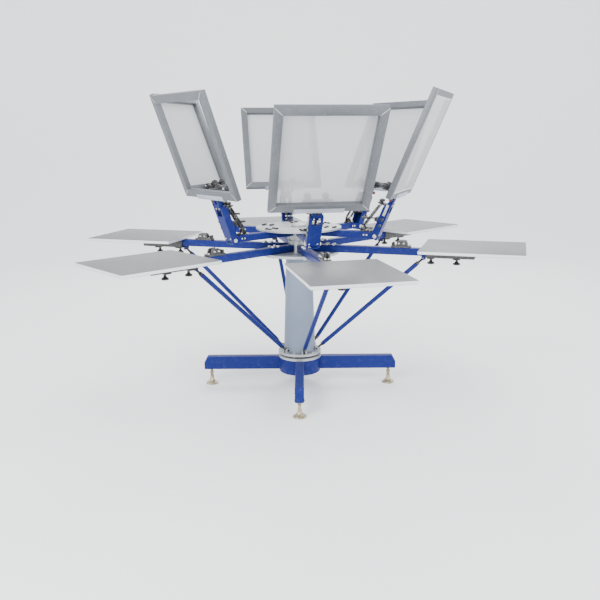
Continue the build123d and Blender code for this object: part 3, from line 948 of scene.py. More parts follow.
def make_platen_arms():
    """Square tubes with rounded long edges, a pressed plug in each end, and ears under each."""
    skin = Skin()
    for k in STATIONS:
        place = platen_spoke(k)
        skin.finish = 0
        skin.add(bar((ARM_START, -ARM_HALF, ARM_BOTTOM), (PLATEN_ARM_END - 1 * MM, ARM_HALF, ARM_TOP), 0,
                     sizes().tube_corner, 0.0006, 6), place)
        ears(skin, place, BRACE_HEAD[0], BRACE_HEAD[2], ARM_BOTTOM, 8.5 * MM, 6 * MM, -1)
        skin.finish = 1
        skin.add(bar((PLATEN_ARM_END - 1.5 * MM, 2.5 * MM - ARM_HALF, ARM_BOTTOM + 2.5 * MM),
                     (PLATEN_ARM_END, ARM_HALF - 2.5 * MM, ARM_TOP - 2.5 * MM), 0, 0.004), place)
    piece("platen_arm_tubes", skin, ["blue_enamel", "knob_plastic"], "platen_carousel",
          ["platen_arms"])


def brace_place(k):
    """A frame at a brace's lower pivot whose third direction runs up it."""
    base = platen_spoke(k).shifted(*BRACE_FOOT)
    return base.pointing(BRACE_HEAD - BRACE_FOOT)


def make_braces():
    """Tubes with swaged ends, threaded rod ends with eyes and nuts, and their pivot bolts."""
    length = float(np.linalg.norm(BRACE_HEAD - BRACE_FOOT))
    tubes, ends = Skin(), Skin()
    for k in STATIONS:
        place = brace_place(k)
        wall = [(7.4, 50), (11, 50.4), (12.2, 52), (12.5, 56), (12.5, length / MM - 56),
                (12.2, length / MM - 52), (11, length / MM - 50.4), (7.4, length / MM - 50)]
        tubes.add(lathe(np.array(wall) * MM, 32), place, loop=True)
        far = Place(place.turn.T, place([0, 0, length])).pointing((0, 0, -1))
        for end in (place, far):
            ends.add(screw_thread(6.9 * MM, 9 * MM, 56 * MM, 2.2 * MM, sizes().thread_depth, 16, 5), end)
            eye = end.pointing((0, 1, 0), (1, 0, 0))
            ends.add(collar(10.4 * MM, 4.2 * MM, -8 * MM, 8 * MM, 1 * MM, 32), eye, loop=True)
            ends.add(slab(hexagon(20 * MM), 38.5 * MM, 49.6 * MM, 0.8 * MM), end)
            ends.add(slab(circle(4 * MM, 20), -16 * MM, 16 * MM), eye)
            bolt(ends, eye.shifted(0, 0, 14.5 * MM), 12 * MM, 4.5 * MM, False)
            bolt(ends, eye.shifted(0, 0, -14.5 * MM).pointing((0, 0, -1)), 12 * MM, 4.5 * MM, False)
    piece("brace_tubes_swaged", tubes, ["blue_enamel"], "platen_carousel", ["platen_braces"])
    piece("brace_rod_ends_threaded", ends, ["dark_steel"], "platen_carousel",
          ["brace_rod_ends"])


def make_gates():
    """The registration guides: a cast base, two lead-in cheeks, adjusting screws, and a rubber stop."""
    skin = Skin()
    lift = ARM_TOP
    for k in STATIONS:
        place = platen_spoke(k)
        skin.finish = 0
        skin.add(bar((545 * MM, -22 * MM, lift), (655 * MM, 22 * MM, lift + 12 * MM), 2, 5 * MM, 1.4 * MM, 6),
                 place)
        for side in (-1, 1):
            cheek = np.array([[575, 0], [635, 0], [635, 12], [628, 26], [620, 29], [588, 29], [579, 20]]) * MM
            rings = slab(cheek, 11.5 * MM, 20 * MM, 1.2 * MM)
            skin.add(np.stack([rings[:, :, 0], side * rings[:, :, 2], rings[:, :, 1] + lift + 12 * MM], 2),
                     place)
            for reach_r in (590 * MM, 618 * MM):
                skin.finish = 1
                stem = place.shifted(reach_r, side * 20 * MM, lift + 25 * MM).pointing((0, side, 0),
                                                                                      (1, 0, 0))
                skin.add(screw_thread(3.4 * MM, 0, 11 * MM, 1.4 * MM, 0.5 * MM, 14), stem)
                bolt(skin, stem, 10 * MM, 4 * MM, False)
                skin.finish = 0
        skin.finish = 2
        skin.add(bar((549 * MM, -15 * MM, lift + 12 * MM), (563 * MM, 15 * MM, lift + 29 * MM), 1, 4 * MM,
                     1.2 * MM), place)
        skin.finish = 1
        for side in (-9 * MM, 9 * MM):
            bolt(skin, place.shifted(645 * MM, side, lift + 12 * MM), 10 * MM, 5 * MM)
        bolt(skin, place.shifted(569 * MM, 0, lift + 12 * MM), 8 * MM, 4 * MM)
    piece("registration_gate_castings", skin, ["hammered_black", "zinc_plate", "rubber_black"],
          "platen_carousel", ["registration_gates"])


def make_platens():
    """Boards with rounded corners and a bright band let in round the edge."""
    for k in STATIONS:
        skin = Skin()
        outline = round_box(PLATEN_LENGTH - 1.6 * MM, PLATEN_WIDTH - 1.6 * MM, 8 * MM, 8,
                            (PLATEN_START + PLATEN_LENGTH / 2, 0))
        inner = inset(outline, 0.6 * MM)
        skin.add(slab(outline, PLATEN_UNDER, PLATEN_TOP, 0.7 * MM), platen_spoke(k))
        skin.finish = 1
        band = window(inset(outline, -0.8 * MM), inner, PLATEN_UNDER + 1.2 * MM, PLATEN_TOP - 1.4 * MM,
                      0.4 * MM)
        skin.add(band, platen_spoke(k), loop=True)
        piece(f"platen_{k}_board", skin, ["board_laminate", "edge_trim"], f"platen_board_{k}",
              [f"platen_{k}"])


def make_platen_brackets():
    """Rails beside each arm with screwed flanges, straps below it, and lobed clamping knobs."""
    start, end = 742 * MM, 1005 * MM
    low, high = 812 * MM, PLATEN_UNDER
    for k in STATIONS:
        place = platen_spoke(k)
        skin = Skin()
        for side in (-1, 1):
            near, far = sorted((side * 26 * MM, side * 32 * MM))
            skin.add(bar((start, near, low), (end, far, high - 3 * MM), 0, 1.5 * MM), place)
            near, far = sorted((side * 26 * MM, side * 58 * MM))
            skin.add(bar((start, near, high - 3 * MM), (end, far, high), 2, 4 * MM), place)
            skin.finish = 1
            for radius in np.linspace(start + 22 * MM, end - 22 * MM, 4):
                spot = place.shifted(radius, side * 46 * MM, high - 3 * MM).pointing((0, 0, -1))
                dome = eased([(5.4, 0), (5.4, 1.2), (4, 2.6), (1.2, 3.1), (0.3, 3.1)], 2)
                skin.add(lathe(dome * MM, 20), spot)
            skin.finish = 0
        for radius in (768 * MM, 908 * MM):
            skin.add(bar((radius - 20 * MM, -34 * MM, low - 6 * MM), (radius + 20 * MM, 34 * MM, low), 2,
                         5 * MM), place)
            skin.finish = 2
            under = place.shifted(radius, 0, 773 * MM)
            star_knob(skin, under, 21 * MM, 13 * MM, 6)
            neck = eased([(14, 11), (12, 14), (8, 19), (7, 25), (7, 33)], 2)
            skin.add(lathe(neck * MM, 28), under)
            skin.finish = 0
        piece(f"platen_bracket_{k}_rails", skin, ["hammered_black", "zinc_plate", "knob_plastic"],
              f"platen_board_{k}", [f"platen_bracket_{k}"])


# ---------------------------------------------------------------- head carousel

def upright_plate(skin, place, outline, s0, s1, edge=0.0008):
    """A plate that stands along a spoke: its outline is (out, up), and it is thick sideways."""
    skin.add(slab(outline, s0, s1, edge)[:, :, [0, 2, 1]], place)


def make_head_arms():
    """Square tubes with end plugs and the black tapered posts that the lift springs pull on."""
    skin = Skin()
    for k in STATIONS:
        place = head_spoke(k)
        skin.finish = 0
        skin.add(bar((ARM_START, -ARM_HALF, HEAD_ARM_BOTTOM), (HEAD_ARM_END - 1 * MM, ARM_HALF, HEAD_ARM_TOP),
                     0, sizes().tube_corner, 0.0006, 6), place)
        skin.finish = 1
        skin.add(bar((HEAD_ARM_END - 1.2 * MM, 3 * MM - ARM_HALF, HEAD_ARM_BOTTOM + 3 * MM),
                     (HEAD_ARM_END, ARM_HALF - 3 * MM, HEAD_ARM_TOP - 3 * MM), 0, 3 * MM), place)
        skin.finish = 2
        skin.add(bar((372 * MM, -21 * MM, HEAD_ARM_TOP),
                     (420 * MM, 21 * MM, HEAD_ARM_TOP + 5 * MM), 2, 5 * MM),
                 place)
        for side in (-1, 1):
            web = tapered_link((391, 15), (391, 34), 15, 8) * MM + np.array([0, HEAD_ARM_TOP - 6 * MM])
            near, far = sorted((side * 8 * MM, side * 13 * MM))
            upright_plate(skin, place, web, near, far)
        post = place.shifted(391 * MM, 0, HEAD_ARM_TOP + 28 * MM).pointing((0, 1, 0), (1, 0, 0))
        skin.finish = 3
        skin.add(slab(circle(4 * MM, 24), -25 * MM, 25 * MM), post)
        for side in (-1, 1):
            bolt(skin, place.shifted(411 * MM, side * 14 * MM, HEAD_ARM_TOP + 5 * MM), 9 * MM, 4 * MM)
    piece("head_arm_tubes", skin, ["blue_enamel", "knob_plastic", "dark_steel", "zinc_plate"],
          "head_carousel", ["head_arms"])


def make_hinges():
    """Cheek plates: the outline round the arm's end and the hinge boss. A shouldered pin joins them."""
    cheeks, pins = Skin(), Skin()
    for k in STATIONS:
        place = head_spoke(k)
        middle = (HEAD_ARM_TOP + HEAD_ARM_BOTTOM) / 2
        outline = tapered_link((HEAD_ARM_END - 15 * MM, middle), (HINGE_R, HINGE_Z), 17 * MM, 15.5 * MM)
        for side in (-1, 1):
            near, far = sorted((side * 25 * MM, side * 31 * MM))
            cheeks.finish = 0
            upright_plate(cheeks, place, outline, near, far, 1 * MM)
            cheeks.finish = 1
            for radius in (400 * MM, 417 * MM):
                face = place.shifted(radius, side * 31 * MM, middle).pointing((0, side, 0), (1, 0, 0))
                bolt(cheeks, face, 9 * MM, 2.4 * MM, False)
        axle = place.shifted(HINGE_R, 0, HINGE_Z).pointing((0, 1, 0), (1, 0, 0))
        pins.add(slab(circle(5.98 * MM, 32), -45 * MM, 45 * MM, 1 * MM), axle)
        for end in (axle.shifted(0, 0, 35.5 * MM), axle.shifted(0, 0, -35.5 * MM).pointing((0, 0, -1))):
            bolt(pins, end, 17 * MM, 6 * MM)
    piece("hinge_cheek_plates", cheeks, ["blue_enamel", "zinc_plate"], "head_carousel",
          ["hinge_cheeks"])
    piece("hinge_pin_bolts", pins, ["zinc_plate"], "head_carousel", ["hinge_pins"])


def slotted(skin, place, a0, a1, half, slot, n0, n1, corner_r=3 * MM):
    """A plate between two distances out, with a slot (start, end, half width) through it."""
    outer = round_box(a1 - a0, 2 * half, corner_r, 6, ((a0 + a1) / 2, 0))
    start, end, reach_s = slot
    inner = round_box(end - start, 2 * reach_s, 2.5 * MM, 6, ((start + end) / 2, 0))
    skin.add(window(outer, inner, n0, n1), place, loop=True)


def make_channels():
    """Each head's channel: a slotted face plate, two flanged sides, ribs, and the neck to the clamp."""
    floor = CHANNEL_UNDER + CHANNEL_T
    split = 96 * MM
    for k in STATIONS:
        place = head_place(k)
        skin = Skin()
        slotted(skin, place, CHANNEL_START, split, CHANNEL_HALF, (-10 * MM, 2 * MM, 24 * MM), CHANNEL_UNDER,
                floor)
        slotted(skin, place, split - 0.5 * MM, CHANNEL_END, CHANNEL_HALF, (146 * MM, 180 * MM, 21 * MM),
                CHANNEL_UNDER, floor)
        side_outline = np.array([[CHANNEL_START, floor], [CHANNEL_END, floor], [CHANNEL_END, 6 * MM],
                                 [178 * MM, CHANNEL_RIM - 3 * MM], [165 * MM, CHANNEL_RIM],
                                 [2 * MM, CHANNEL_RIM], [-10 * MM, CHANNEL_RIM - 3 * MM],
                                 [-17 * MM, 8 * MM]])
        for side in (-1, 1):
            near, far = sorted((side * (CHANNEL_HALF - CHANNEL_T), side * CHANNEL_HALF))
            upright_plate(skin, place, side_outline, near, far)
            boss = place.shifted(0, side * CHANNEL_HALF, 0).pointing((0, side, 0), (1, 0, 0))
            skin.add(collar(13 * MM, 6.1 * MM, -2.9 * MM, 0.4 * MM, 0.3 * MM, 36), boss, loop=True)
        neck_top = 5 * MM
        skin.add(bar((CHANNEL_END - 24 * MM, -24 * MM, floor), (FRAME_START - 5 * MM, -16 * MM, neck_top), 0,
                     2 * MM), place)
        skin.add(bar((CHANNEL_END - 24 * MM, 16 * MM, floor), (FRAME_START - 5 * MM, 24 * MM, neck_top), 0,
                     2 * MM), place)
        slotted(skin, place, CHANNEL_END - 20 * MM, FRAME_START - 5 * MM, 24 * MM,
                (214 * MM, 238 * MM, 8 * MM), floor - 3 * MM, floor)
        for rib in (108 * MM, 132 * MM):
            skin.add(bar((rib, 0.4 * MM - CHANNEL_HALF + CHANNEL_T, floor),
                         (rib + 5 * MM, CHANNEL_HALF - CHANNEL_T - 0.4 * MM, 4 * MM), 1, 1.5 * MM), place)
        skin.finish = 1
        for a, s in ((16 * MM, -22 * MM), (16 * MM, 22 * MM), (190 * MM, -14 * MM), (190 * MM, 14 * MM)):
            skin.add(lathe(eased([(4.6, 0), (4.6, 0.8), (3.2, 2.0), (0.4, 2.3)], 2) * MM, 20),
                     place.shifted(a, s, CHANNEL_UNDER).pointing((0, 0, -1)))
        piece(f"head_channel_{k}_folded", skin, ["blue_enamel", "zinc_plate"], f"print_head_{k}",
              [f"head_channel_{k}"])


def knurled(skin, place, radius, length):
    """A small adjusting knob: a lobed grip with many shallow lobes, and a turned hub before it."""
    grip = lobed(radius, radius * 0.14, 18, 72)
    heights = np.array((0.25, 0.3, 0.9, 0.97, 1.0)) * length
    widths = (0.86, 1.0, 1.0, 0.93, 0.7)
    skin.add(np.array([ring_points(grip * w, h) for h, w in zip(heights, widths)]), place)
    skin.add(lathe([(radius * 0.5, 0), (radius * 0.5, length * 0.26)], 24), place)


def make_clamps():
    """The clamp that holds a screen: a folded cross bar with a lip, a jaw with two big knobs on screws,
    and the head's adjusters, lock lever, guide slides and spring hook plate."""
    for k in STATIONS:
        place = head_place(k)
        skin = Skin()
        back = FRAME_START - 5 * MM
        face = round_box(2 * CLAMP_HALF, 45 * MM, 3 * MM, 5, (0, FRAME_UNDER + 19.5 * MM))
        skin.add(slab(face, back, FRAME_START, 0.8 * MM)[:, :, [2, 0, 1]], place)
        skin.add(bar((FRAME_START - 3 * MM, -CLAMP_HALF, FRAME_UNDER - 3 * MM),
                     (FRAME_START + 20 * MM, CLAMP_HALF, FRAME_UNDER - 0.1 * MM), 1, 1.3 * MM), place)
        skin.finish = 4
        jaw = round_box(39 * MM, 2 * JAW_HALF, 6 * MM, 6, (back + 19.5 * MM, 0))
        skin.add(slab(jaw, JAW_TOP - 16 * MM, JAW_TOP - 9 * MM, 1 * MM), place)
        for side in (-1, 1):
            near, far = sorted((side * 56 * MM, side * 63 * MM))
            rib = np.array([[back, JAW_TOP - 10 * MM], [back + 34 * MM, JAW_TOP - 10 * MM],
                            [back + 12 * MM, JAW_TOP], [back, JAW_TOP]])
            upright_plate(skin, place, rib, near, far, 0.6 * MM)
            near, far = sorted((side * 44 * MM, side * 56 * MM))
            skin.add(bar((back, near, 1 * MM), (FRAME_START, far, JAW_TOP - 10 * MM), 2, 1.5 * MM), place)
            spot = place.shifted(CLAMP_KNOB[0], side * CLAMP_KNOB[1], 0)
            skin.finish = 3
            pad = eased([(9, FRAME_OVER / MM + 0.1), (9, -8.5), (5, -7), (4, -6)], 1)
            skin.add(lathe(pad * MM, 28), spot)
            skin.add(screw_thread(4 * MM, -7 * MM, 34 * MM, 1.8 * MM, 0.7 * MM, 16), spot)
            skin.add(slab(hexagon(15 * MM), JAW_TOP - 9 * MM, JAW_TOP - 1 * MM), spot)
            skin.finish = 2
            star_knob(skin, spot.shifted(0, 0, 34 * MM), sizes().knob_radius, 36 * MM, 5, 9 * MM)
            small = place.shifted(CLAMP_KNOB[0] - 6 * MM, side * 70 * MM, JAW_TOP - 9 * MM)
            knurled(skin, small, 6.5 * MM, 15 * MM)
            skin.finish = 4
        adjusters(skin, place)
        piece(f"head_clamp_{k}_assembly", skin,
              ["clamp_plate", "blue_enamel", "knob_plastic", "zinc_plate", "dark_steel", "red_plastic"],
              f"print_head_{k}", [f"head_clamp_{k}"])


def adjusters(skin, place):
    """What stands in and beside the channel: the lock block and lever, hook plate, knobs and slides."""
    floor = CHANNEL_UNDER + CHANNEL_T
    inner = CHANNEL_HALF - CHANNEL_T - 0.3 * MM
    skin.finish = 4
    skin.add(bar((78 * MM, -inner, floor), (100 * MM, inner, 38 * MM), 1, 3 * MM, 1 * MM), place)
    hook = round_box(2 * inner, 60 * MM - floor, 5 * MM, 6, (0, (60 * MM + floor) / 2))
    skin.add(slab(hook, 176 * MM, 182 * MM, 0.8 * MM)[:, :, [2, 0, 1]], place)
    lever = place.shifted(90 * MM, 0, 38 * MM).pointing((-0.375, 0, 0.927))
    skin.add(lathe(eased([(7, -2), (7, 6), (5, 8), (3.6, 12), (3.6, 46)], 1) * MM, 24), lever)
    skin.finish = 2
    grip = eased([(4.4, 34), (6.2, 38), (5.8, 52), (6.6, 74), (6.4, 82), (3.6, 85), (0.5, 85.6)], 3)
    skin.add(lathe(grip * MM, 28), lever)
    for side in (-1, 1):
        outward = place.shifted(182 * MM, side * SPRING_SIDE, HOOK_HEIGHT).pointing((1, 0, 0))
        skin.finish = 3
        skin.add(lathe([(3 * MM, -14 * MM), (3 * MM, 6 * MM)], 16), outward)
        skin.finish = 2
        knurled(skin, outward.shifted(0, 0, 2 * MM), 11.5 * MM, 17 * MM)
    for a, start, length, radius in ((68, 35, 22, 8), (105, 35, 24, 8.5), (222, 24, 30, 9)):
        spot = place.shifted(a * MM, -start * MM, -4 * MM).pointing((0, -1, 0), (1, 0, 0))
        skin.finish = 3
        skin.add(slab(hexagon(13 * MM), 0.1 * MM, 5 * MM), spot)
        skin.add(lathe([(2.8 * MM, 0), (2.8 * MM, length * MM * 0.7)], 14), spot)
        skin.finish = 5 if a > 200 else 2
        knurled(skin, spot.shifted(0, 0, 5 * MM), radius * MM, (length - 5) * MM)
    outside = -CHANNEL_HALF - 6 * MM
    skin.finish = 3
    skin.add(bar((125 * MM, outside, -8 * MM), (190 * MM, -CHANNEL_HALF, 6 * MM), 0, 2 * MM), place)
    for a in (132 * MM, 183 * MM):
        spot = place.shifted(a, outside, -1 * MM).pointing((0, -1, 0), (1, 0, 0))
        bolt(skin, spot, 8 * MM, 2.5 * MM, False)
    skin.finish = 3
    for a in (84 * MM, 94 * MM):
        bolt(skin, place.shifted(a, 20 * MM, 38 * MM), 7 * MM, 3 * MM)
        bolt(skin, place.shifted(a, -20 * MM, 38 * MM), 7 * MM, 3 * MM)


def make_springs():
    """Two coil springs a head, from the arm's post to the hook plate: a helix whose coils close in at
    both ends, wound where the head rests."""
    wire = sizes().spring_wire / 2
    coil_r = sizes().spring_coil / 2 - wire
    for k in STATIONS:
        place, level = head_place(k), head_spoke(k)
        for side in (-1, 1):
            skin = Skin()
            start = level([SPRING_POST, side * SPRING_SIDE, HEAD_ARM_TOP + 28 * MM])
            end = place([SPRING_HOOK, side * SPRING_SIDE, HOOK_HEIGHT])
            span = end - start
            length = float(np.linalg.norm(span))
            ahead = span / length
            across = level.turn.T[1]
            third = np.cross(ahead, across)
            u = np.linspace(0, 1, 900)
            swell = np.clip(np.minimum(u, 1 - u) / 0.05, 0, 1) ** 0.5
            angle = np.clip((u - 0.05) / 0.9, 0, 1) * SPRING_TURNS * 2 * math.pi
            radius = coil_r * swell
            path = (start + u[:, None] * span + (radius * np.cos(angle))[:, None] * across
                    + (radius * np.sin(angle))[:, None] * third)
            skin.add(pipe(path, wire, 8, ahead))
            name = f"lift_spring_{k}_{'left' if side > 0 else 'right'}"
            made = piece(name, skin, ["dark_steel"], None)
            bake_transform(made)


# ---------------------------------------------------------------- screens

def mitred_bar(length, near, far, low, high):
    """A hollow-looking bar of a frame, along the first direction: a rounded section whose ends are cut
    so that each point stops as far in from the end as it is from the outer side, which makes the mitre."""
    section = round_box(far - near, high - low, 2.2 * MM, 5, ((near + far) / 2, (low + high) / 2))
    depth = far - section[:, 0]
    stations = np.array([0.0, 0.0008, 0.5, 0.9992, 1.0])
    pinch = np.array([0.5, 0.0, 0.0, 0.0, 0.5]) * MM
    rings = []
    for share, pull in zip(stations, pinch):
        cut = inset(section, pull)
        run = depth + (length - 2 * depth) * share
        rings.append(np.column_stack([run, cut]))
    return np.array(rings)


def make_screens():
    """Frames of four mitred aluminium bars with linished welds, and a mesh glued to most of them."""
    for k in STATIONS:
        place = head_place(k)
        length = FRAME_LENGTHS[k]
        middle = place.shifted(FRAME_START + length / 2, 0, 0)
        along, across, rise = place.turn.T
        skin = Skin()
        side_bar = mitred_bar(length, FRAME_HALF - FRAME_BAR, FRAME_HALF, FRAME_UNDER, FRAME_OVER)
        end_bar = mitred_bar(2 * FRAME_HALF, length / 2 - FRAME_BAR, length / 2, FRAME_UNDER, FRAME_OVER)
        for turned in (1, -1):
            base = Place([along * turned, across * turned, rise], middle.origin)
            skin.add(side_bar, base.shifted(-length / 2, 0, 0))
        for turned in (1, -1):
            base = Place([-across * turned, along * turned, rise], middle.origin)
            skin.add(end_bar, base.shifted(-FRAME_HALF, 0, 0))
        skin.finish = 1
        for end in (-1, 1):
            for side in (-1, 1):
                outer = np.array([end * (length / 2 - 2 * MM), side * (FRAME_HALF - 2 * MM), 0])
                inner = np.array([end * (length / 2 - FRAME_BAR + 2 * MM),
                                  side * (FRAME_HALF - FRAME_BAR + 2 * MM), 0])
                share = np.linspace(0, 1, 70)
                for height in (FRAME_OVER, FRAME_UNDER):
                    path = outer + share[:, None] * (inner - outer) + np.array([0, 0, height])
                    bead = 1.5 * MM * (1 + 0.12 * np.sin(share * 90)) * np.clip(
                        np.minimum(share, 1 - share) * 14, 0.25, 1)
                    rings = pipe(path, bead, 8)
                    rings[:, :, 2] = height + (rings[:, :, 2] - height) * 0.28
                    skin.add(rings, middle)
        piece(f"screen_frame_{k}_welded", skin, ["frame_aluminium", "weld_aluminium"], f"print_head_{k}",
              [f"screen_frame_{k}"])
        if k not in BARE:
            make_mesh_sheet(k, middle)


def make_mesh_sheet(k, middle):
    """A taut sheet: a flat grid on one face of the bars, whose surface runs from 0 to its size each way."""
    rows, columns = 40, 32
    a = np.linspace(-MESH_LENGTH / 2, MESH_LENGTH / 2, rows)
    s = np.linspace(-MESH_WIDTH / 2, MESH_WIDTH / 2, columns)
    grid_a, grid_s = np.meshgrid(a, s, indexing="ij")
    level = FRAME_OVER + MESH_OFF if k in MESH_UP else FRAME_UNDER - MESH_OFF
    height = np.full_like(grid_a, level)
    points = middle(np.stack([grid_a, grid_s, height], 2).reshape(-1, 3))
    i, j = np.meshgrid(np.arange(rows - 1), np.arange(columns - 1), indexing="ij")
    first = (i * columns + j).ravel()
    faces = np.stack([first, first + columns, first + columns + 1, first + 1], 1)
    made = bpy.data.meshes.new(f"screen_mesh_{k}_sheet")
    made.from_pydata(points, [], faces[:, ::-1].tolist())
    spots = np.stack([grid_a.ravel() + MESH_LENGTH / 2, grid_s.ravel() + MESH_WIDTH / 2], 1)
    layer = made.uv_layers.new(name="UVMap")
    layer.data.foreach_set("uv", spots[faces[:, ::-1].ravel()].ravel())
    made.shade_smooth()
    sheet = bpy.data.objects.new(made.name, made)
    bpy.context.scene.collection.objects.link(sheet)
    made.materials.append(FINISHES["tensioned_mesh"]())
    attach(sheet, f"print_head_{k}")
    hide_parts(f"screen_mesh_{k}")


# ---------------------------------------------------------------- stage

def pale(name, colour):
    finish = Finish(name)
    finish.set(base_color=finish.blend(finish.noise(0.8, 2), rgba(colour, 0.99), rgba(colour)))
    finish.set(roughness=0.9, specular_ior_level=0.1)
    return finish.material


def make_stage():
    """A pale floor that curves up behind, soft lights, and the camera."""
    across = np.linspace(-9, 9, 3)
    flat = np.array([[-9.0, 0], [4.5, 0]])
    turn = np.linspace(0, math.pi / 2, 14)
    curve = np.column_stack([4.5 + 2.5 * np.sin(turn), 2.5 - 2.5 * np.cos(turn)])
    profile = np.concatenate([flat, curve[1:], [[7.0, 7.5]]])
    points = np.stack([np.repeat(across, len(profile)), np.tile(profile[:, 0], 3),
                       np.tile(profile[:, 1], 3) - 0.0005], 1)
    n = len(profile)
    faces = [(c * n + i, (c + 1) * n + i, (c + 1) * n + i + 1, c * n + i + 1)
             for c in range(2) for i in range(n - 1)]
    made = bpy.data.meshes.new("floor")
    made.from_pydata(points, [], faces)
    made.shade_smooth()
    floor = bpy.data.objects.new("floor", made)
    made.materials.append(pale("floor_paper", (0.97, 0.97, 0.97)))
    bpy.context.scene.collection.objects.link(floor)
    world = bpy.data.worlds.new("studio")
    world.use_nodes = True
    world.node_tree.nodes["Background"].inputs["Color"].default_value = (0.93, 0.96, 1.0, 1)
    world.node_tree.nodes["Background"].inputs["Strength"].default_value = 1.8
    bpy.context.scene.world = world
    target = Vector((0, 0, 0.9))
    for name, spot, size, power in (("key", (-2.6, -4.2, 3.4), 2.6, 280),
                                    ("fill", (3.6, -3.0, 2.4), 3.0, 110),
                                    ("rim", (0.5, 3.2, 4.0), 3.0, 170)):
        lamp = bpy.data.lights.new(name, "AREA")
        lamp.size = size
        lamp.energy = power
        held = bpy.data.objects.new(name, lamp)
        held.location = spot
        held.rotation_euler = (target - Vector(spot)).to_track_quat("-Z", "Y").to_euler()
        bpy.context.scene.collection.objects.link(held)
    make_camera()


def make_camera():
    """The camera stands a little above the platens and looks down at the hub."""
    yaw, pitch, roll = (math.radians(angle) for angle in (-0.03, 14.39, -0.43))
    ahead = Vector((-math.sin(yaw) * math.cos(pitch), math.cos(yaw) * math.cos(pitch), -math.sin(pitch)))
    level = Vector((math.cos(yaw), math.sin(yaw), 0))
    rise = level.cross(ahead)
    right = math.cos(roll) * level + math.sin(roll) * rise
    up = math.cos(roll) * rise - math.sin(roll) * level
    lens = bpy.data.cameras.new("camera")
    lens.sensor_width = 36
    lens.lens = 41.04
    lens.shift_x = -0.0079
    lens.shift_y = 0.0221
    camera = bpy.data.objects.new("camera", lens)
    turn = Matrix((right, up, -ahead)).transposed().to_4x4()
    camera.matrix_world = Matrix.Translation((0.0297, -3.9741, 1.4577)) @ turn
    bpy.context.scene.collection.objects.link(camera)
    bpy.context.scene.camera = camera


# ---------------------------------------------------------------- operators

def coat_kept_nodes():
    """Finishes for the nodes that are shown as they are."""
    for node, finish in (("base_frame", "blue_enamel"), ("base_flange", "turned_steel"),
                         ("centre_spindle", "ground_steel"), ("thrust_bearing", "dark_steel"),
                         ("upper_bearing", "turned_steel"), ("platen_hub", "turned_steel"),
                         ("upper_disc", "turned_steel")):
        coat_node(node, finish)


class CAROUSEL_OT_base(bpy.types.Operator):
    """Finishes the nodes that are shown as they are"""
    bl_idname = "carousel.base"
    bl_label = "Finish Base"

    def execute(self, context):
        coat_kept_nodes()
        return {"FINISHED"}


class CAROUSEL_OT_feet(bpy.types.Operator):
    """Turns the four levelling feet and their lock nuts"""
    bl_idname = "carousel.feet"
    bl_label = "Build Levelling Feet"

    def execute(self, context):
        make_feet()
        make_lock_nuts()
        return {"FINISHED"}


class CAROUSEL_OT_welds(bpy.types.Operator):
    """Lays the weld beads round the legs"""
    bl_idname = "carousel.welds"
    bl_label = "Build Leg Welds"

    def execute(self, context):
        make_welds()
        return {"FINISHED"}


class CAROUSEL_OT_column(bpy.types.Operator):
    """Builds the column, its flange and the cap"""
    bl_idname = "carousel.column"
    bl_label = "Build Column"

    def execute(self, context):
        make_column()
        make_flange()
        make_cap()
        return {"FINISHED"}


class CAROUSEL_OT_fasteners(bpy.types.Operator):
    """Puts the bolts in both hubs"""
    bl_idname = "carousel.fasteners"
    bl_label = "Build Hub Bolts"

    def execute(self, context):
        make_fasteners()
        return {"FINISHED"}


class CAROUSEL_OT_platen_arms(bpy.types.Operator):
    """Builds the platen arms"""
    bl_idname = "carousel.platen_arms"
    bl_label = "Build Platen Arms"

    def execute(self, context):
        make_platen_arms()
        return {"FINISHED"}


class CAROUSEL_OT_braces(bpy.types.Operator):
    """Builds the braces and their threaded ends"""
    bl_idname = "carousel.braces"
    bl_label = "Build Braces"

    def execute(self, context):
        make_braces()
        return {"FINISHED"}


class CAROUSEL_OT_gates(bpy.types.Operator):
    """Builds the registration gates"""
    bl_idname = "carousel.gates"
    bl_label = "Build Registration Gates"

    def execute(self, context):
        make_gates()
        return {"FINISHED"}


class CAROUSEL_OT_platens(bpy.types.Operator):
    """Builds the six boards"""
    bl_idname = "carousel.platens"
    bl_label = "Build Platens"

    def execute(self, context):
        make_platens()
        return {"FINISHED"}


class CAROUSEL_OT_platen_brackets(bpy.types.Operator):
    """Builds the rails, straps and knobs under the boards"""
    bl_idname = "carousel.platen_brackets"
    bl_label = "Build Platen Brackets"

    def execute(self, context):
        make_platen_brackets()
        return {"FINISHED"}


class CAROUSEL_OT_head_arms(bpy.types.Operator):
    """Builds the head arms and spring posts"""
    bl_idname = "carousel.head_arms"
    bl_label = "Build Head Arms"

    def execute(self, context):
        make_head_arms()
        return {"FINISHED"}


class CAROUSEL_OT_hinges(bpy.types.Operator):
    """Builds the hinge cheeks and pins"""
    bl_idname = "carousel.hinges"
    bl_label = "Build Hinges"

    def execute(self, context):
        make_hinges()
        return {"FINISHED"}


class CAROUSEL_OT_channels(bpy.types.Operator):
    """Builds the folded channels of the heads"""
    bl_idname = "carousel.channels"
    bl_label = "Build Head Channels"

    def execute(self, context):
        make_channels()
        return {"FINISHED"}


class CAROUSEL_OT_clamps(bpy.types.Operator):
    """Builds the clamps, knobs and adjusters"""
    bl_idname = "carousel.clamps"
    bl_label = "Build Screen Clamps"

    def execute(self, context):
        make_clamps()
        return {"FINISHED"}


class CAROUSEL_OT_springs(bpy.types.Operator):
    """Winds the lift springs"""
    bl_idname = "carousel.springs"
    bl_label = "Build Lift Springs"

    def execute(self, context):
        make_springs()
        return {"FINISHED"}


class CAROUSEL_OT_screens(bpy.types.Operator):
    """Builds the frames and their meshes"""
    bl_idname = "carousel.screens"
    bl_label = "Build Screens"

    def execute(self, context):
        make_screens()
        return {"FINISHED"}


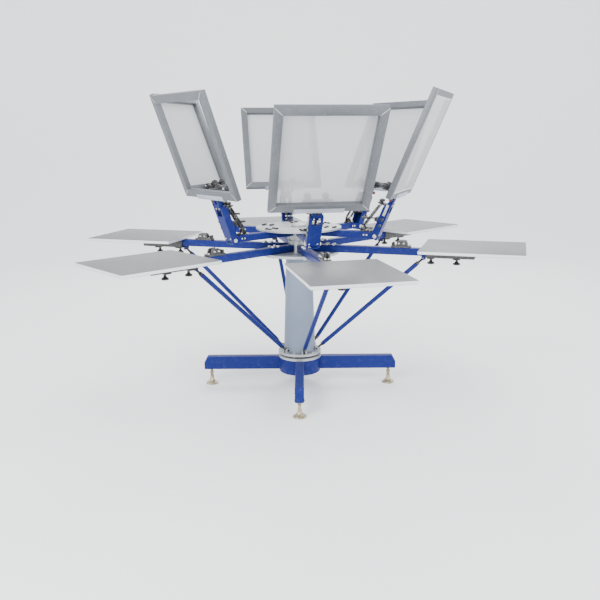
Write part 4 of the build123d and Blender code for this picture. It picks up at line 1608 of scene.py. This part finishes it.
class CAROUSEL_OT_stage(bpy.types.Operator):
    """Builds the floor, the lights and the camera"""
    bl_idname = "carousel.stage"
    bl_label = "Build Stage"

    def execute(self, context):
        make_stage()
        return {"FINISHED"}


OPERATORS = (
    CAROUSEL_OT_base, CAROUSEL_OT_feet, CAROUSEL_OT_welds, CAROUSEL_OT_column, CAROUSEL_OT_fasteners,
    CAROUSEL_OT_platen_arms, CAROUSEL_OT_braces, CAROUSEL_OT_gates, CAROUSEL_OT_platens,
    CAROUSEL_OT_platen_brackets, CAROUSEL_OT_head_arms, CAROUSEL_OT_hinges, CAROUSEL_OT_channels,
    CAROUSEL_OT_clamps, CAROUSEL_OT_springs, CAROUSEL_OT_screens, CAROUSEL_OT_stage)
SETTINGS = (CarouselColours, CarouselSizes)


class CAROUSEL_PT_panel(bpy.types.Panel):
    """Lists the settings and the steps that build the carousel."""
    bl_idname = "CAROUSEL_PT_panel"
    bl_label = "Screen Printing Carousel"
    bl_space_type = "VIEW_3D"
    bl_region_type = "UI"
    bl_category = "Carousel"

    def draw(self, context):
        for group in (context.scene.carousel_colours, context.scene.carousel_sizes):
            box = self.layout.box()
            for key in group.bl_rna.properties.keys():
                if key not in ("rna_type", "name"):
                    box.prop(group, key)
        for step in OPERATORS:
            self.layout.operator(step.bl_idname)


def register():
    for group in SETTINGS:
        bpy.utils.register_class(group)
    bpy.types.Scene.carousel_colours = bpy.props.PointerProperty(type=CarouselColours)
    bpy.types.Scene.carousel_sizes = bpy.props.PointerProperty(type=CarouselSizes)
    for step in OPERATORS:
        bpy.utils.register_class(step)
    bpy.utils.register_class(CAROUSEL_PT_panel)


def unregister():
    bpy.utils.unregister_class(CAROUSEL_PT_panel)
    for step in reversed(OPERATORS):
        bpy.utils.unregister_class(step)
    del bpy.types.Scene.carousel_sizes
    del bpy.types.Scene.carousel_colours
    for group in reversed(SETTINGS):
        bpy.utils.unregister_class(group)


def main():
    register()
    for step in OPERATORS:
        getattr(bpy.ops.carousel, step.bl_idname.split(".")[1])()


if __name__ == "__main__":
    main()
